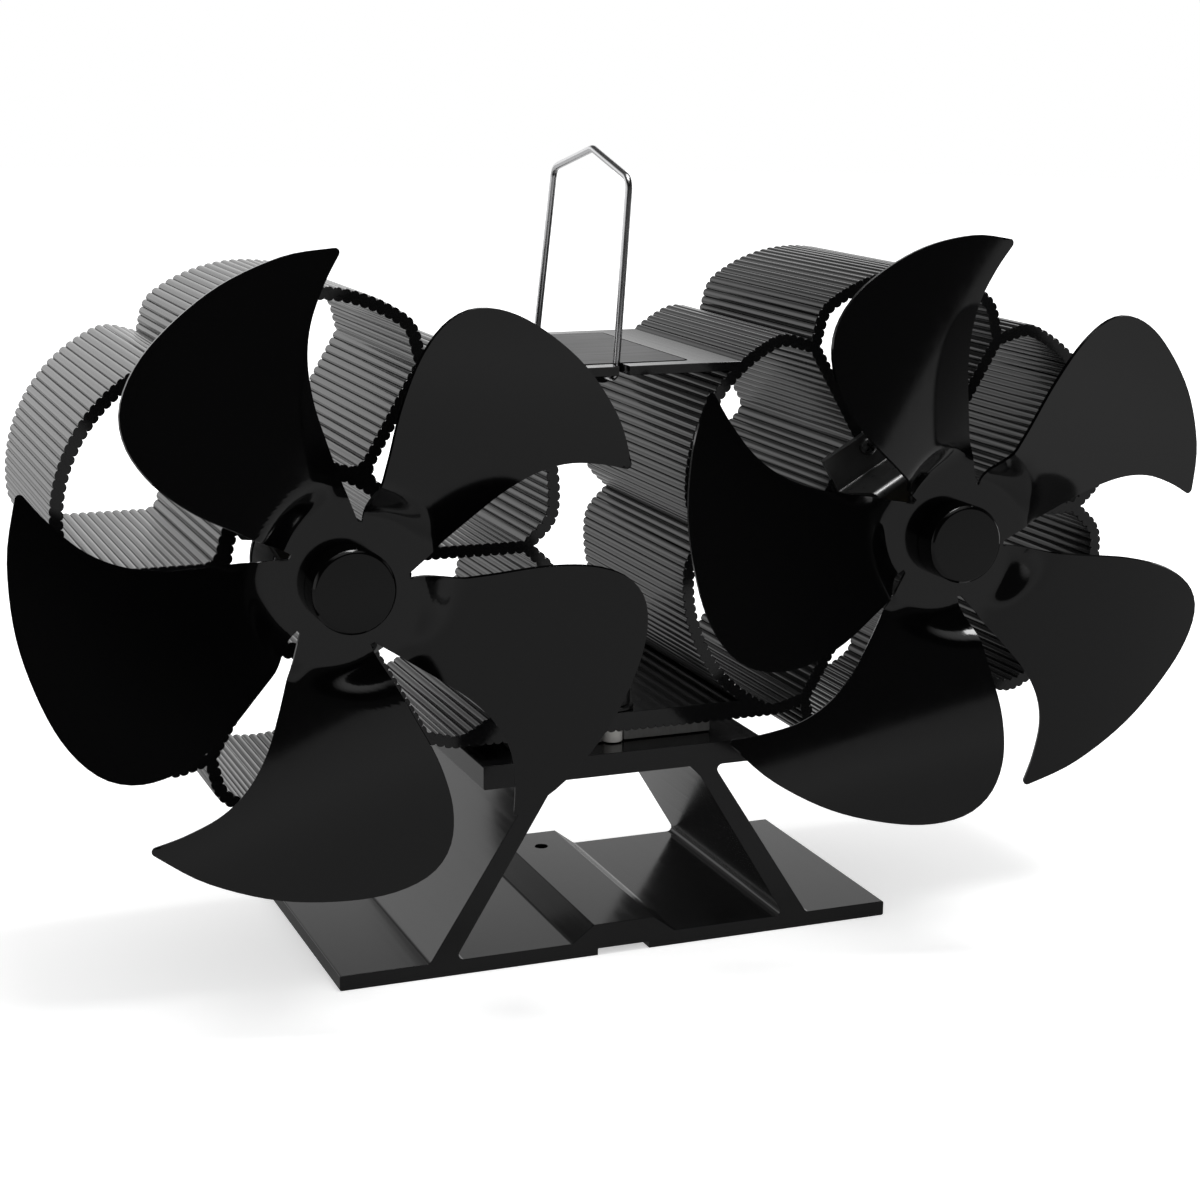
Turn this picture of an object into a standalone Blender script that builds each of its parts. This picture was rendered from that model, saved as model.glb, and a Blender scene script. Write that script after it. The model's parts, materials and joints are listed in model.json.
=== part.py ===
"""Two-fan thermoelectric stove fan, in metres.

X runs across the fan, Y from its front to its back and Z up. Every piece is placed from the
middle of the foot on the floor, and the assembly empty then carries them all, so that the
origin lies on the floor under the middle of the whole fan.
"""

import math

import bmesh
import bpy
from mathutils import Matrix, Vector
from mathutils.geometry import interpolate_bezier

# Shared gaps and drawing steps
SEAT_GAP = 0.0003
BORE_GAP = 0.0003
CUT_OVERRUN = 0.002
CHORD_ERROR = 0.00005
ROUND_SEGMENTS = 28
SMALL_SEGMENTS = 14
MERGE_DISTANCE = 0.000002

# Base extrusion: foot, channel cover, two legs and top plate
BASE_DEPTH = 0.082
FOOT_WIDTH = 0.1705
FOOT_THICKNESS = 0.0045
COVER_TOP = 0.0095
COVER_HALF_WIDTH = 0.0094
COVER_FLANK = 0.0066
LEG_FOOT_REACH = 0.059
LEG_FOOT_THICKNESS = 0.0074
LEG_TOP_REACH = 0.0275
LEG_TOP_THICKNESS = 0.006
LEG_CHAMFER = 0.003
CEILING_RISE = 0.0003
TOP_PLATE_HALF_WIDTH = 0.043
TOP_PLATE_THICKNESS = 0.0069
BASE_HEIGHT = 0.0608
BASE_EDGE_RADIUS = 0.0005
LEG_ROOT_RADIUS = 0.0015

# Bimetal strip in the groove under the foot, and its rivet
STRIP_WIDTH = 0.012
STRIP_LENGTH = 0.065
STRIP_THICKNESS = 0.0008
STRIP_SIDE_GAP = 0.002
STRIP_END_RADIUS = 0.002
RIVET_BACK = 0.028
RIVET_END_MARGIN = 0.006
RIVET_RADIUS = 0.0018
RIVET_HEAD_RADIUS = 0.0035
RIVET_HEAD_THICKNESS = 0.0004
RIVET_FLOOR_GAP = 0.0002
RIVET_SINK = 0.0025

# Thermoelectric module between the base and the cooling extrusion
MODULE_SIDE = 0.040
MODULE_THICKNESS = 0.0031
PAD_THICKNESS = 0.0003
MODULE_CORNER_RADIUS = 0.001
GASKET_HALF_SIDE = 0.031
GASKET_CORNER_RADIUS = 0.0015
GASKET_WINDOW_GAP = 0.0015

# Cooling extrusion: two flowers of petals round a motor ring
PETAL_COUNT = 6
FLOWER_HALF_SPACING = 0.0886
COOLER_FRONT = 0.036
COOLER_BACK = 0.0423
PETAL_REACH = 0.0733
CROWN_RADIUS = 0.045
CROWN_HALF_ANGLE = math.radians(34.7)
SHOULDER_RADIUS = 0.010
SHOULDER_END_ANGLE = math.radians(76.5)
PETAL_WALL = 0.003
SPOKE_THICKNESS = 0.003
RING_RADIUS = 0.027
RING_WALL = 0.004
CELL_FILLET = 0.004
LABEL_PLATE_RISE = 0.0489
LABEL_PLATE_THICKNESS = 0.0026
COOLER_PLATE_THICKNESS = 0.0052

# Screw ports of the cooling extrusion, where two of the spokes meet the ring
PORT_DISTANCE = 0.0265
PORT_SPOKES = (2, 5)

# Bore boss under the top plate and the slots for the handle
BOSS_RADIUS = 0.0042
BOSS_END_MARGIN = 0.016
HINGE_DROP = 0.0042
SLOT_WIDTH = 0.0032
SLOT_END_GAP = 0.0006

# Carrying handle of bent wire
WIRE_RADIUS = 0.00105
HANDLE_LEG_REACH = 0.0323
HANDLE_SHOULDER_REACH = 0.0293
HANDLE_SHOULDER_RISE = 0.0548
HANDLE_TOP_RISE = 0.0618
HANDLE_FOOT_LENGTH = 0.019
HANDLE_FOOT_BEND = 0.0022
HANDLE_SHOULDER_BEND = 0.004
HANDLE_TOP_BEND = 0.006
HANDLE_LEAN = math.radians(5)

# Clamp screws, washers and insulating bushes
CLAMP_DISTANCE = 0.030
CLAMP_SCREW_RADIUS = 0.002
CLAMP_HEAD_RADIUS = 0.005
CLAMP_HEAD_HEIGHT = 0.004
CLAMP_HEAD_BEVEL = 0.0006
CLAMP_SOCKET_RADIUS = 0.0023
CLAMP_SOCKET_DEPTH = 0.0022
SOCKET_SIDES = 6
CLAMP_SCREW_END_MARGIN = 0.0012
CLAMP_WASHER_RADIUS = 0.006
CLAMP_WASHER_THICKNESS = 0.001
BUSH_RADIUS = 0.003

# Motors
MOTOR_RADIUS = 0.016
MOTOR_LENGTH = 0.0247
MOTOR_EDGE = 0.0012
MOTOR_BOSS_RADIUS = 0.003
MOTOR_BOSS_LENGTH = 0.0026
MOTOR_BORE_DEPTH = 0.0064
MOTOR_CAP_RADIUS = 0.0148
MOTOR_CAP_THICKNESS = 0.002
MOTOR_CAP_BOSS_RADIUS = 0.0045
MOTOR_CAP_BOSS_LENGTH = 0.0016
TERMINAL_WIDTH = 0.0024
TERMINAL_THICKNESS = 0.0005
TERMINAL_LENGTH = 0.0045
TERMINAL_DISTANCE = 0.0095
SHAFT_RADIUS = 0.001

# Motor brackets: a strip across the motor face with two legs back to the screw ports
BRACKET_WIDTH = 0.019
BRACKET_FOOT_WIDTH = 0.028
BRACKET_THICKNESS = 0.002
BRACKET_FRONT = 0.0540
BRACKET_LEG_DISTANCE = 0.0177
BRACKET_FOOT_REACH = 0.0302
BRACKET_BEND_RADIUS = 0.0025
PORT_SCREW_RADIUS = 0.00125
PORT_SCREW_LENGTH = 0.009
PORT_HEAD_RADIUS = 0.0027
PORT_HEAD_HEIGHT = 0.0018
FACE_SCREW_DISTANCE = 0.0112
FACE_SCREW_RADIUS = 0.0012
FACE_SCREW_BITE = 0.0018
FACE_HOLE_DEPTH = 0.0026
FACE_HEAD_RADIUS = 0.0022
FACE_HEAD_HEIGHT = 0.0014
SCREW_HEAD_CROWN = 0.0004
SCREW_CROWN_SHARE = 0.6

# Fans: pressed five-bladed sheets on a hub collar, with a round cap in front
BLADE_COUNT = 5
FAN_RADIUS = 0.085
BLADE_THICKNESS = 0.001
BLADE_TIP_ROUND = 0.0012
HUB_PLANE_FRONT = 0.0655
HUB_FLAT_RADIUS = 0.017
CREASE_START_RADIUS = 0.0185
CREASE_END_RADIUS = 0.0235
HUB_BLEND_RADIUS = 0.0295
HUB_HOLE_RADIUS = 0.003
SLIT_HALF_ANGLE = math.radians(2)
ROOT_START_ANGLE = math.radians(-60)
LEFT_FAN_TURN = math.radians(0.9)
RIGHT_FAN_TURN = math.radians(13.3)
HUB_CAP_RADIUS = 0.01115
HUB_CAP_FRONT = 0.0742
HUB_CAP_EDGE = 0.0009
HUB_CAP_FLOOR = 0.0022
COLLAR_FLANGE_RADIUS = 0.008
COLLAR_FLANGE_THICKNESS = 0.002
COLLAR_RADIUS = 0.0036
COLLAR_BACK_GAP = 0.0012
SHAFT_END_GAP = 0.0006

# Blade outline, seen from the front: along the tip direction and clockwise from it, as
# shares of the fan's radius, from the tip to the last point before the root
LEADING_EDGE_SHARES = (
    (1.008, 0.013),
    (0.900, -0.054),
    (0.790, -0.102),
    (0.680, -0.117),
    (0.560, -0.101),
    (0.450, -0.065),
    (0.333, -0.020),
    (0.250, 0.014),
)
TRAILING_EDGE_SHARES = (
    (1.008, 0.013),
    (0.985, -0.190),
    (0.900, -0.405),
    (0.755, -0.597),
    (0.620, -0.690),
    (0.500, -0.697),
    (0.385, -0.630),
    (0.285, -0.506),
    (0.207, -0.358),
    (0.160, -0.268),
)
# How far back the blade lies from the hub's plane: by its distance along the tip direction,
# by its distance clockwise, by their product and by the square of the second
RISE_SHARE = 0.0831
PITCH_SHARE = 0.5907
TWIST_SHARE = -0.238
CAMBER_SHARE = 0.2125
BLADE_ROWS = 12
BLADE_COLUMNS = 5
ROW_CROWDING = 1.35

# Places that follow from the sizes above
SHOULDER_CENTRE = (
    PETAL_REACH - CROWN_RADIUS + (CROWN_RADIUS - SHOULDER_RADIUS) * math.cos(CROWN_HALF_ANGLE),
    (CROWN_RADIUS - SHOULDER_RADIUS) * math.sin(CROWN_HALF_ANGLE),
)
SECTOR = math.tau / PETAL_COUNT
HALF_SECTOR = SECTOR / 2
SHOULDER_DROP = SHOULDER_CENTRE[0] * math.sin(HALF_SECTOR) + SHOULDER_CENTRE[1] * math.cos(HALF_SECTOR)
MODULE_STACK = MODULE_THICKNESS + 2 * PAD_THICKNESS + 4 * SEAT_GAP
COOLER_BOTTOM = BASE_HEIGHT + MODULE_STACK
COOLER_PLATE_TOP = COOLER_BOTTOM + COOLER_PLATE_THICKNESS
FLOWER_HEIGHT = COOLER_BOTTOM + SHOULDER_RADIUS + SHOULDER_DROP
COOLER_MIDDLE = (COOLER_BACK - COOLER_FRONT) / 2
LABEL_PLATE_TOP = FLOWER_HEIGHT + LABEL_PLATE_RISE
LABEL_PLATE_BOTTOM = LABEL_PLATE_TOP - LABEL_PLATE_THICKNESS
HINGE_HEIGHT = LABEL_PLATE_TOP - HINGE_DROP
STRIP_BOTTOM = RIVET_FLOOR_GAP + RIVET_HEAD_THICKNESS + SEAT_GAP
GROOVE_DEPTH = STRIP_BOTTOM + STRIP_THICKNESS + SEAT_GAP
MOTOR_FRONT = BRACKET_FRONT - BRACKET_THICKNESS - SEAT_GAP
MOTOR_BACK = MOTOR_FRONT - MOTOR_LENGTH
SHEET_FRONT = HUB_PLANE_FRONT + BLADE_THICKNESS / 2
SHEET_BACK = HUB_PLANE_FRONT - BLADE_THICKNESS / 2
COLLAR_BACK = BRACKET_FRONT + FACE_HEAD_HEIGHT + SEAT_GAP + COLLAR_BACK_GAP
CAP_BORE_RADIUS = HUB_HOLE_RADIUS
SPIGOT_RADIUS = HUB_HOLE_RADIUS - BORE_GAP
CAP_BORE_FRONT = HUB_CAP_FRONT - HUB_CAP_FLOOR
BORE_RADIUS = WIRE_RADIUS + BORE_GAP

# Turns a piece drawn upright so that its top faces the front of the fan
FACING_FRONT = Matrix.Rotation(math.radians(90), 4, "X")


# Drawing in the plane

def polar(radius, angle, centre=(0, 0)):
    return (centre[0] + radius * math.cos(angle), centre[1] + radius * math.sin(angle))


def arc(centre, radius, start, end):
    """Points along a circular arc, with both of its ends, no chord further off it than its error."""
    step = 2 * math.acos(1 - min(1, CHORD_ERROR / radius))
    steps = max(2, math.ceil(abs(end - start) / step))
    return [polar(radius, start + (end - start) * i / steps, centre) for i in range(steps + 1)]


def circle(centre, radius, segments):
    return [polar(radius, math.tau * i / segments, centre) for i in range(segments)]


def rounded(corners, closed=True):
    """An outline through corners (x, y, radius), each rounded by its radius."""
    points = []
    for i, (x, y, radius) in enumerate(corners):
        corner = Vector((x, y))
        if radius == 0 or not (closed or 0 < i < len(corners) - 1):
            points.append((x, y))
            continue
        back = (Vector(corners[i - 1][:2]) - corner).normalized()
        ahead = (Vector(corners[(i + 1) % len(corners)][:2]) - corner).normalized()
        half = back.angle(ahead) / 2
        centre = corner + (back + ahead).normalized() * (radius / math.sin(half))
        start = corner + back * (radius / math.tan(half)) - centre
        end = corner + ahead * (radius / math.tan(half)) - centre
        first = math.atan2(start.y, start.x)
        turn = (math.atan2(end.y, end.x) - first + math.pi) % math.tau - math.pi
        points += arc(centre, radius, first, first + turn)
    return points


def mirrored(points):
    """The outline's right half, top to bottom, followed by its mirror image back to the top."""
    return points + [(-x, y) for x, y in reversed(points)]


def smooth(controls, count, crowding=1.0):
    """Points of a Catmull-Rom curve through the control points, which crowding moves to its end."""
    knots = [Vector(point) for point in controls]
    padded = [knots[0]] + knots + [knots[-1]]
    dense = []
    for before, start, end, after in zip(padded, padded[1:], padded[2:], padded[3:]):
        leaving = start + (end - before) / 6
        arriving = end - (after - start) / 6
        dense += interpolate_bezier(start, leaving, arriving, end, count + 1)[:-1]
    dense.append(knots[-1])
    along = [0.0]
    for start, end in zip(dense, dense[1:]):
        along.append(along[-1] + (end - start).length)
    points = []
    for i in range(count + 1):
        wanted = along[-1] * (1 - (1 - i / count) ** crowding)
        j = next(k for k in range(1, len(along)) if along[k] >= wanted or k == len(along) - 1)
        share = (wanted - along[j - 1]) / (along[j] - along[j - 1])
        points.append(tuple(dense[j - 1].lerp(dense[j], share)))
    return points


# Making objects

def start_scene():
    for obj in list(bpy.data.objects):
        bpy.data.objects.remove(obj)
    for name in ("stove_fan", "cutters"):
        collection = bpy.data.collections.new(name)
        bpy.context.scene.collection.children.link(collection)
    bpy.data.collections["cutters"].hide_render = True


def add_empty(name, location, parent=None):
    empty = bpy.data.objects.new(name, None)
    bpy.data.collections["stove_fan"].objects.link(empty)
    empty.parent = parent
    empty.location = location
    return empty


def material(name, colour, roughness, metallic):
    made = bpy.data.materials.new(name)
    made.use_nodes = True
    shader = made.node_tree.nodes["Principled BSDF"]
    shader.inputs["Base Color"].default_value = (*colour, 1)
    shader.inputs["Roughness"].default_value = roughness
    shader.inputs["Metallic"].default_value = metallic
    made.diffuse_color = (*colour, 1)
    return made


def add_object(name, data, matrix, parent=None, look=None):
    """A part of the fan, or a cutter where no look is given."""
    obj = bpy.data.objects.new(name, data)
    bpy.data.collections["stove_fan" if look else "cutters"].objects.link(obj)
    obj.parent = parent
    obj.matrix_basis = matrix
    if look:
        data.materials.append(material(name, *look))
    else:
        obj.hide_render = True
        obj.display_type = "WIRE"
    return obj


def flat_mesh(outlines, thickness):
    """A mesh of a flat outline, with any holes in it, about the middle of its thickness."""
    curve = bpy.data.curves.new("outline", "CURVE")
    curve.dimensions = "2D"
    curve.fill_mode = "BOTH"
    curve.extrude = thickness / 2
    for points in outlines:
        spline = curve.splines.new("POLY")
        spline.points.add(len(points) - 1)
        spline.use_cyclic_u = True
        for point, (x, y) in zip(spline.points, points):
            point.co = (x, y, 0, 1)
    guide = bpy.data.objects.new("outline", curve)
    bpy.context.scene.collection.objects.link(guide)
    graph = bpy.context.evaluated_depsgraph_get()
    mesh = bpy.data.meshes.new_from_object(guide.evaluated_get(graph))
    bpy.data.objects.remove(guide)
    bpy.data.curves.remove(curve)
    cells = bmesh.new()
    cells.from_mesh(mesh)
    bmesh.ops.remove_doubles(cells, verts=cells.verts, dist=MERGE_DISTANCE)
    bmesh.ops.recalc_face_normals(cells, faces=cells.faces)
    cells.to_mesh(mesh)
    cells.free()
    return mesh


def along_depth(front, back):
    """Places a flat outline in X and Z, to run between two distances back from the foot's middle."""
    return Matrix.Translation((0, (front + back) / 2, 0)) @ FACING_FRONT


def turned_mesh(profile, closed=False):
    """A profile of (radius, height) points for a Screw about Z, its outer side top to bottom."""
    mesh = bpy.data.meshes.new("profile")
    edges = [(i, i + 1) for i in range(len(profile) - 1)]
    if closed:
        edges.append((len(profile) - 1, 0))
    mesh.from_pydata([(radius, 0, height) for radius, height in profile], edges, [])
    return mesh


def add_turned(name, profile, matrix, parent, look=None, closed=False, segments=ROUND_SEGMENTS):
    obj = add_object(name, turned_mesh(profile, closed), matrix, parent, look)
    screw = obj.modifiers.new("turn", "SCREW")
    screw.steps = segments
    screw.render_steps = segments
    screw.use_merge_vertices = True
    screw.merge_threshold = MERGE_DISTANCE
    screw.use_smooth_shade = True
    return obj


def cut(obj, cutter, operation="DIFFERENCE"):
    boolean = obj.modifiers.new(cutter.name, "BOOLEAN")
    boolean.object = cutter
    boolean.operation = operation


def box_cutter(name, low, high, parent):
    mesh = bpy.data.meshes.new(name)
    cells = bmesh.new()
    bmesh.ops.create_cube(cells, size=1)
    size = Vector(high) - Vector(low)
    bmesh.ops.scale(cells, vec=size, verts=cells.verts)
    cells.to_mesh(mesh)
    cells.free()
    return add_object(name, mesh, Matrix.Translation((Vector(high) + Vector(low)) / 2), parent)


def rod_mesh(radius, length, segments):
    """A plain rod along Z about its own middle."""
    mesh = bpy.data.meshes.new("rod")
    cells = bmesh.new()
    bmesh.ops.create_cone(
        cells, cap_ends=True, segments=segments, radius1=radius, radius2=radius, depth=length
    )
    cells.to_mesh(mesh)
    cells.free()
    mesh.shade_smooth()
    mesh.set_sharp_from_angle(angle=math.radians(40))
    return mesh


def rod_cutter(name, radius, matrix, length, parent):
    return add_object(name, rod_mesh(radius, length, SMALL_SEGMENTS), matrix, parent)


# Base extrusion

def base_outline():
    """The foot, legs and top plate as one outline, and the opening between the legs."""
    groove = STRIP_WIDTH / 2 + STRIP_SIDE_GAP
    plate_bottom = BASE_HEIGHT - TOP_PLATE_THICKNESS
    edge = BASE_EDGE_RADIUS
    right = [
        (0, BASE_HEIGHT, 0),
        (TOP_PLATE_HALF_WIDTH, BASE_HEIGHT, edge),
        (TOP_PLATE_HALF_WIDTH, plate_bottom, edge),
        (LEG_TOP_REACH, plate_bottom, LEG_ROOT_RADIUS),
        (LEG_FOOT_REACH, FOOT_THICKNESS, LEG_ROOT_RADIUS),
        (FOOT_WIDTH / 2, FOOT_THICKNESS, edge),
        (FOOT_WIDTH / 2, 0, edge),
        (groove, 0, 0),
        (groove, GROOVE_DEPTH, 0),
        (0, GROOVE_DEPTH, 0),
    ]
    top_inner = LEG_TOP_REACH - LEG_TOP_THICKNESS
    foot_inner = LEG_FOOT_REACH - LEG_FOOT_THICKNESS
    lean = (foot_inner - top_inner) / (plate_bottom - FOOT_THICKNESS)
    ceiling = plate_bottom + CEILING_RISE
    opening = [
        (0, ceiling, 0),
        (top_inner - LEG_CHAMFER / 2, ceiling, 0),
        (top_inner + lean * LEG_CHAMFER, plate_bottom - LEG_CHAMFER, 0),
        (foot_inner, FOOT_THICKNESS, LEG_ROOT_RADIUS),
        (COVER_HALF_WIDTH + COVER_FLANK, FOOT_THICKNESS, LEG_ROOT_RADIUS),
        (COVER_HALF_WIDTH, COVER_TOP, edge),
        (0, COVER_TOP, 0),
    ]
    return [mirrored(rounded(half, closed=False)[1:-1]) for half in (right, opening)]


def make_base(assembly):
    half_depth = BASE_DEPTH / 2
    base = add_object(
        "base_extrusion",
        flat_mesh(base_outline(), BASE_DEPTH),
        along_depth(-half_depth, half_depth),
        assembly,
        ((0.13, 0.13, 0.135), 0.42, 0.6),
    )
    rivet_hole = rod_cutter(
        "rivet_hole",
        RIVET_RADIUS + BORE_GAP,
        Matrix.Translation((0, RIVET_BACK, COVER_TOP / 2)),
        COVER_TOP + 2 * CUT_OVERRUN,
        assembly,
    )
    cut(base, rivet_hole)
    for name, depth in (("front", -CLAMP_DISTANCE), ("rear", CLAMP_DISTANCE)):
        clamp_hole = rod_cutter(
            name + "_base_clamp_hole",
            CLAMP_SCREW_RADIUS + BORE_GAP,
            Matrix.Translation((0, depth, BASE_HEIGHT - TOP_PLATE_THICKNESS / 2)),
            TOP_PLATE_THICKNESS + 2 * CUT_OVERRUN,
            assembly,
        )
        cut(base, clamp_hole)


def make_bimetal(assembly):
    """The strip that lifts the foot when the stove is too hot, and the rivet that holds its back end."""
    half_width = STRIP_WIDTH / 2
    back = RIVET_BACK + RIVET_END_MARGIN
    front = back - STRIP_LENGTH
    corners = [(half_width, front), (half_width, back), (-half_width, back), (-half_width, front)]
    strip = add_object(
        "bimetal_strip",
        flat_mesh([rounded([(x, y, STRIP_END_RADIUS) for x, y in corners])], STRIP_THICKNESS),
        Matrix.Translation((0, 0, STRIP_BOTTOM + STRIP_THICKNESS / 2)),
        assembly,
        ((0.55, 0.50, 0.42), 0.35, 1.0),
    )
    strip_hole = rod_cutter(
        "strip_hole",
        RIVET_RADIUS + BORE_GAP,
        Matrix.Translation((0, RIVET_BACK, STRIP_BOTTOM)),
        STRIP_THICKNESS + 2 * CUT_OVERRUN,
        assembly,
    )
    cut(strip, strip_hole)
    add_turned(
        "bimetal_rivet",
        [
            (0, COVER_TOP - RIVET_SINK),
            (RIVET_RADIUS, COVER_TOP - RIVET_SINK),
            (RIVET_RADIUS, RIVET_FLOOR_GAP + RIVET_HEAD_THICKNESS),
            (RIVET_HEAD_RADIUS, RIVET_FLOOR_GAP + RIVET_HEAD_THICKNESS),
            (RIVET_HEAD_RADIUS, RIVET_FLOOR_GAP),
            (0, RIVET_FLOOR_GAP),
        ],
        Matrix.Translation((0, RIVET_BACK, 0)),
        assembly,
        ((0.60, 0.60, 0.62), 0.3, 1.0),
        segments=SMALL_SEGMENTS,
    )


# Module and insulation

def make_module(assembly):
    """Hot side pad, module and cold side pad, stacked with the gap between flat seats."""
    half = MODULE_SIDE / 2
    corners = [(half, -half), (half, half), (-half, half), (-half, -half)]
    square = rounded([(x, y, MODULE_CORNER_RADIUS) for x, y in corners])
    bottom = BASE_HEIGHT + SEAT_GAP
    layers = (
        ("hot_side_pad", PAD_THICKNESS, ((0.62, 0.62, 0.60), 0.7, 0.0)),
        ("thermoelectric_module", MODULE_THICKNESS, ((0.85, 0.84, 0.80), 0.5, 0.0)),
        ("cold_side_pad", PAD_THICKNESS, ((0.62, 0.62, 0.60), 0.7, 0.0)),
    )
    for name, thickness, look in layers:
        add_object(
            name,
            flat_mesh([square], thickness),
            Matrix.Translation((0, 0, bottom + thickness / 2)),
            assembly,
            look,
        )
        bottom += thickness + SEAT_GAP


def make_gasket(assembly):
    """The insulating sheet round the module, open at its front and back edges for the bushes."""
    side = GASKET_HALF_SIDE
    notch = BUSH_RADIUS + SEAT_GAP
    notch_end = CLAMP_DISTANCE - notch
    right = [
        (notch, -side, 0),
        (side, -side, GASKET_CORNER_RADIUS),
        (side, side, GASKET_CORNER_RADIUS),
        (notch, side, 0),
        (notch, notch_end, 0),
    ]
    half = rounded([(notch, -notch_end, 0)] + right, closed=False)
    window = MODULE_SIDE / 2 + GASKET_WINDOW_GAP
    opening = [(window, -window), (window, window), (-window, window), (-window, -window)]
    thickness = MODULE_STACK - 2 * SEAT_GAP
    add_object(
        "insulation_gasket",
        flat_mesh([mirrored(half), opening], thickness),
        Matrix.Translation((0, 0, BASE_HEIGHT + SEAT_GAP + thickness / 2)),
        assembly,
        ((0.52, 0.52, 0.51), 0.9, 0.0),
    )


# Cooling extrusion

def petal_side(inset=0.0):
    """Half of a petal's outer line, from the middle of its crown to where its straight end starts."""
    crown = (PETAL_REACH - CROWN_RADIUS, 0)
    points = arc(crown, CROWN_RADIUS - inset, 0, CROWN_HALF_ANGLE)
    return points[:-1] + arc(SHOULDER_CENTRE, SHOULDER_RADIUS - inset, CROWN_HALF_ANGLE, SHOULDER_END_ANGLE)


def straight_end(inset, spoke):
    """Where a petal's straight end meets a spoke's side, or the sector's edge if it has no thickness."""
    x, y = polar(SHOULDER_RADIUS - inset, SHOULDER_END_ANGLE, SHOULDER_CENTRE)
    run_x, run_y = -math.sin(SHOULDER_END_ANGLE), math.cos(SHOULDER_END_ANGLE)
    off = spoke / 2
    edge = (-math.sin(HALF_SECTOR), math.cos(HALF_SECTOR))
    run = (-off - (x * edge[0] + y * edge[1])) / (run_x * edge[0] + run_y * edge[1])
    return (x + run_x * run, y + run_y * run)


def cell_outline():
    """The hollow of one petal, about its own axis along +X."""
    half = petal_side(PETAL_WALL)
    half.append(straight_end(PETAL_WALL, SPOKE_THICKNESS))
    centre_radius = RING_RADIUS + CELL_FILLET
    spoke_off = SPOKE_THICKNESS / 2 + CELL_FILLET
    centre_angle = HALF_SECTOR - math.asin(spoke_off / centre_radius)
    centre = polar(centre_radius, centre_angle)
    half += arc(centre, CELL_FILLET, HALF_SECTOR + math.pi / 2, centre_angle + math.pi)
    half += arc((0, 0), RING_RADIUS, centre_angle, 0)[1:]
    return half + [(x, -y) for x, y in reversed(half[1:-1])]


def in_flower(points, petal):
    """Points of a petal drawn along +X, turned to that petal of the right flower."""
    angle = HALF_SECTOR + petal * SECTOR
    cos, sin = math.cos(angle), math.sin(angle)
    return [
        (FLOWER_HALF_SPACING + x * cos - y * sin, FLOWER_HEIGHT + x * sin + y * cos) for x, y in points
    ]


def whole_petal():
    """A petal's outer line from its clockwise cusp to its anticlockwise one."""
    half = petal_side() + [straight_end(0, 0)]
    return [(x, -y) for x, y in reversed(half[1:])] + half


def crossing(points, height):
    """The point where an outline crosses a height, and how many of its points come before it."""
    for i, (start, end) in enumerate(zip(points, points[1:])):
        if (start[1] - height) * (end[1] - height) < 0:
            share = (height - start[1]) / (end[1] - start[1])
            return (start[0] + (end[0] - start[0]) * share, height), i + 1
    raise ValueError("the plate doesn't reach the petal")


def cooler_outline():
    """The outer line, clockwise from the middle of the top plate down the right flower."""
    upper_inner = in_flower(whole_petal(), 2)
    start, skipped = crossing(upper_inner, LABEL_PLATE_TOP)
    right = [start] + upper_inner[:skipped][::-1]
    for petal in (1, 0, 5, 4):
        right += in_flower(whole_petal(), petal)[::-1][1:]
    lower_inner = in_flower(whole_petal(), 3)[::-1]
    lowest = min(range(len(lower_inner)), key=lambda i: lower_inner[i][1])
    right += lower_inner[1:lowest]
    right.append((lower_inner[lowest][0], COOLER_BOTTOM))
    return mirrored(right)


def channel_outline():
    """The open channel between the flowers, the top plate and the cooler plate."""
    upper = in_flower(whole_petal(), 2)
    start, skipped = crossing(upper, LABEL_PLATE_BOTTOM)
    lower = in_flower(whole_petal(), 3)
    end, count = crossing(lower, COOLER_PLATE_TOP)
    return mirrored([start] + upper[skipped:] + lower[1:count] + [end])


def make_cooler(assembly):
    outlines = [cooler_outline(), channel_outline()]
    for petal in range(PETAL_COUNT):
        cell = in_flower(cell_outline(), petal)
        outlines += [cell, [(-x, y) for x, y in cell]]
    for side in (-1, 1):
        centre = (side * FLOWER_HALF_SPACING, FLOWER_HEIGHT)
        outlines.append(circle(centre, RING_RADIUS - RING_WALL, ROUND_SEGMENTS))
        for spoke in PORT_SPOKES:
            port = polar(PORT_DISTANCE, spoke * SECTOR, centre)
            outlines.append(circle(port, PORT_SCREW_RADIUS + BORE_GAP, SMALL_SEGMENTS))
    cooler = add_object(
        "cooling_extrusion",
        flat_mesh(outlines, COOLER_FRONT + COOLER_BACK),
        along_depth(-COOLER_FRONT, COOLER_BACK),
        assembly,
        ((0.035, 0.035, 0.037), 0.45, 0.3),
    )
    add_handle_boss(cooler, assembly)
    for name, depth in (("front", -CLAMP_DISTANCE), ("rear", CLAMP_DISTANCE)):
        clamp_hole = rod_cutter(
            name + "_cooler_clamp_hole",
            CLAMP_SCREW_RADIUS + BORE_GAP,
            Matrix.Translation((0, depth, (COOLER_BOTTOM + COOLER_PLATE_TOP) / 2)),
            COOLER_PLATE_THICKNESS + 2 * CUT_OVERRUN,
            assembly,
        )
        cut(cooler, clamp_hole)


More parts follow.
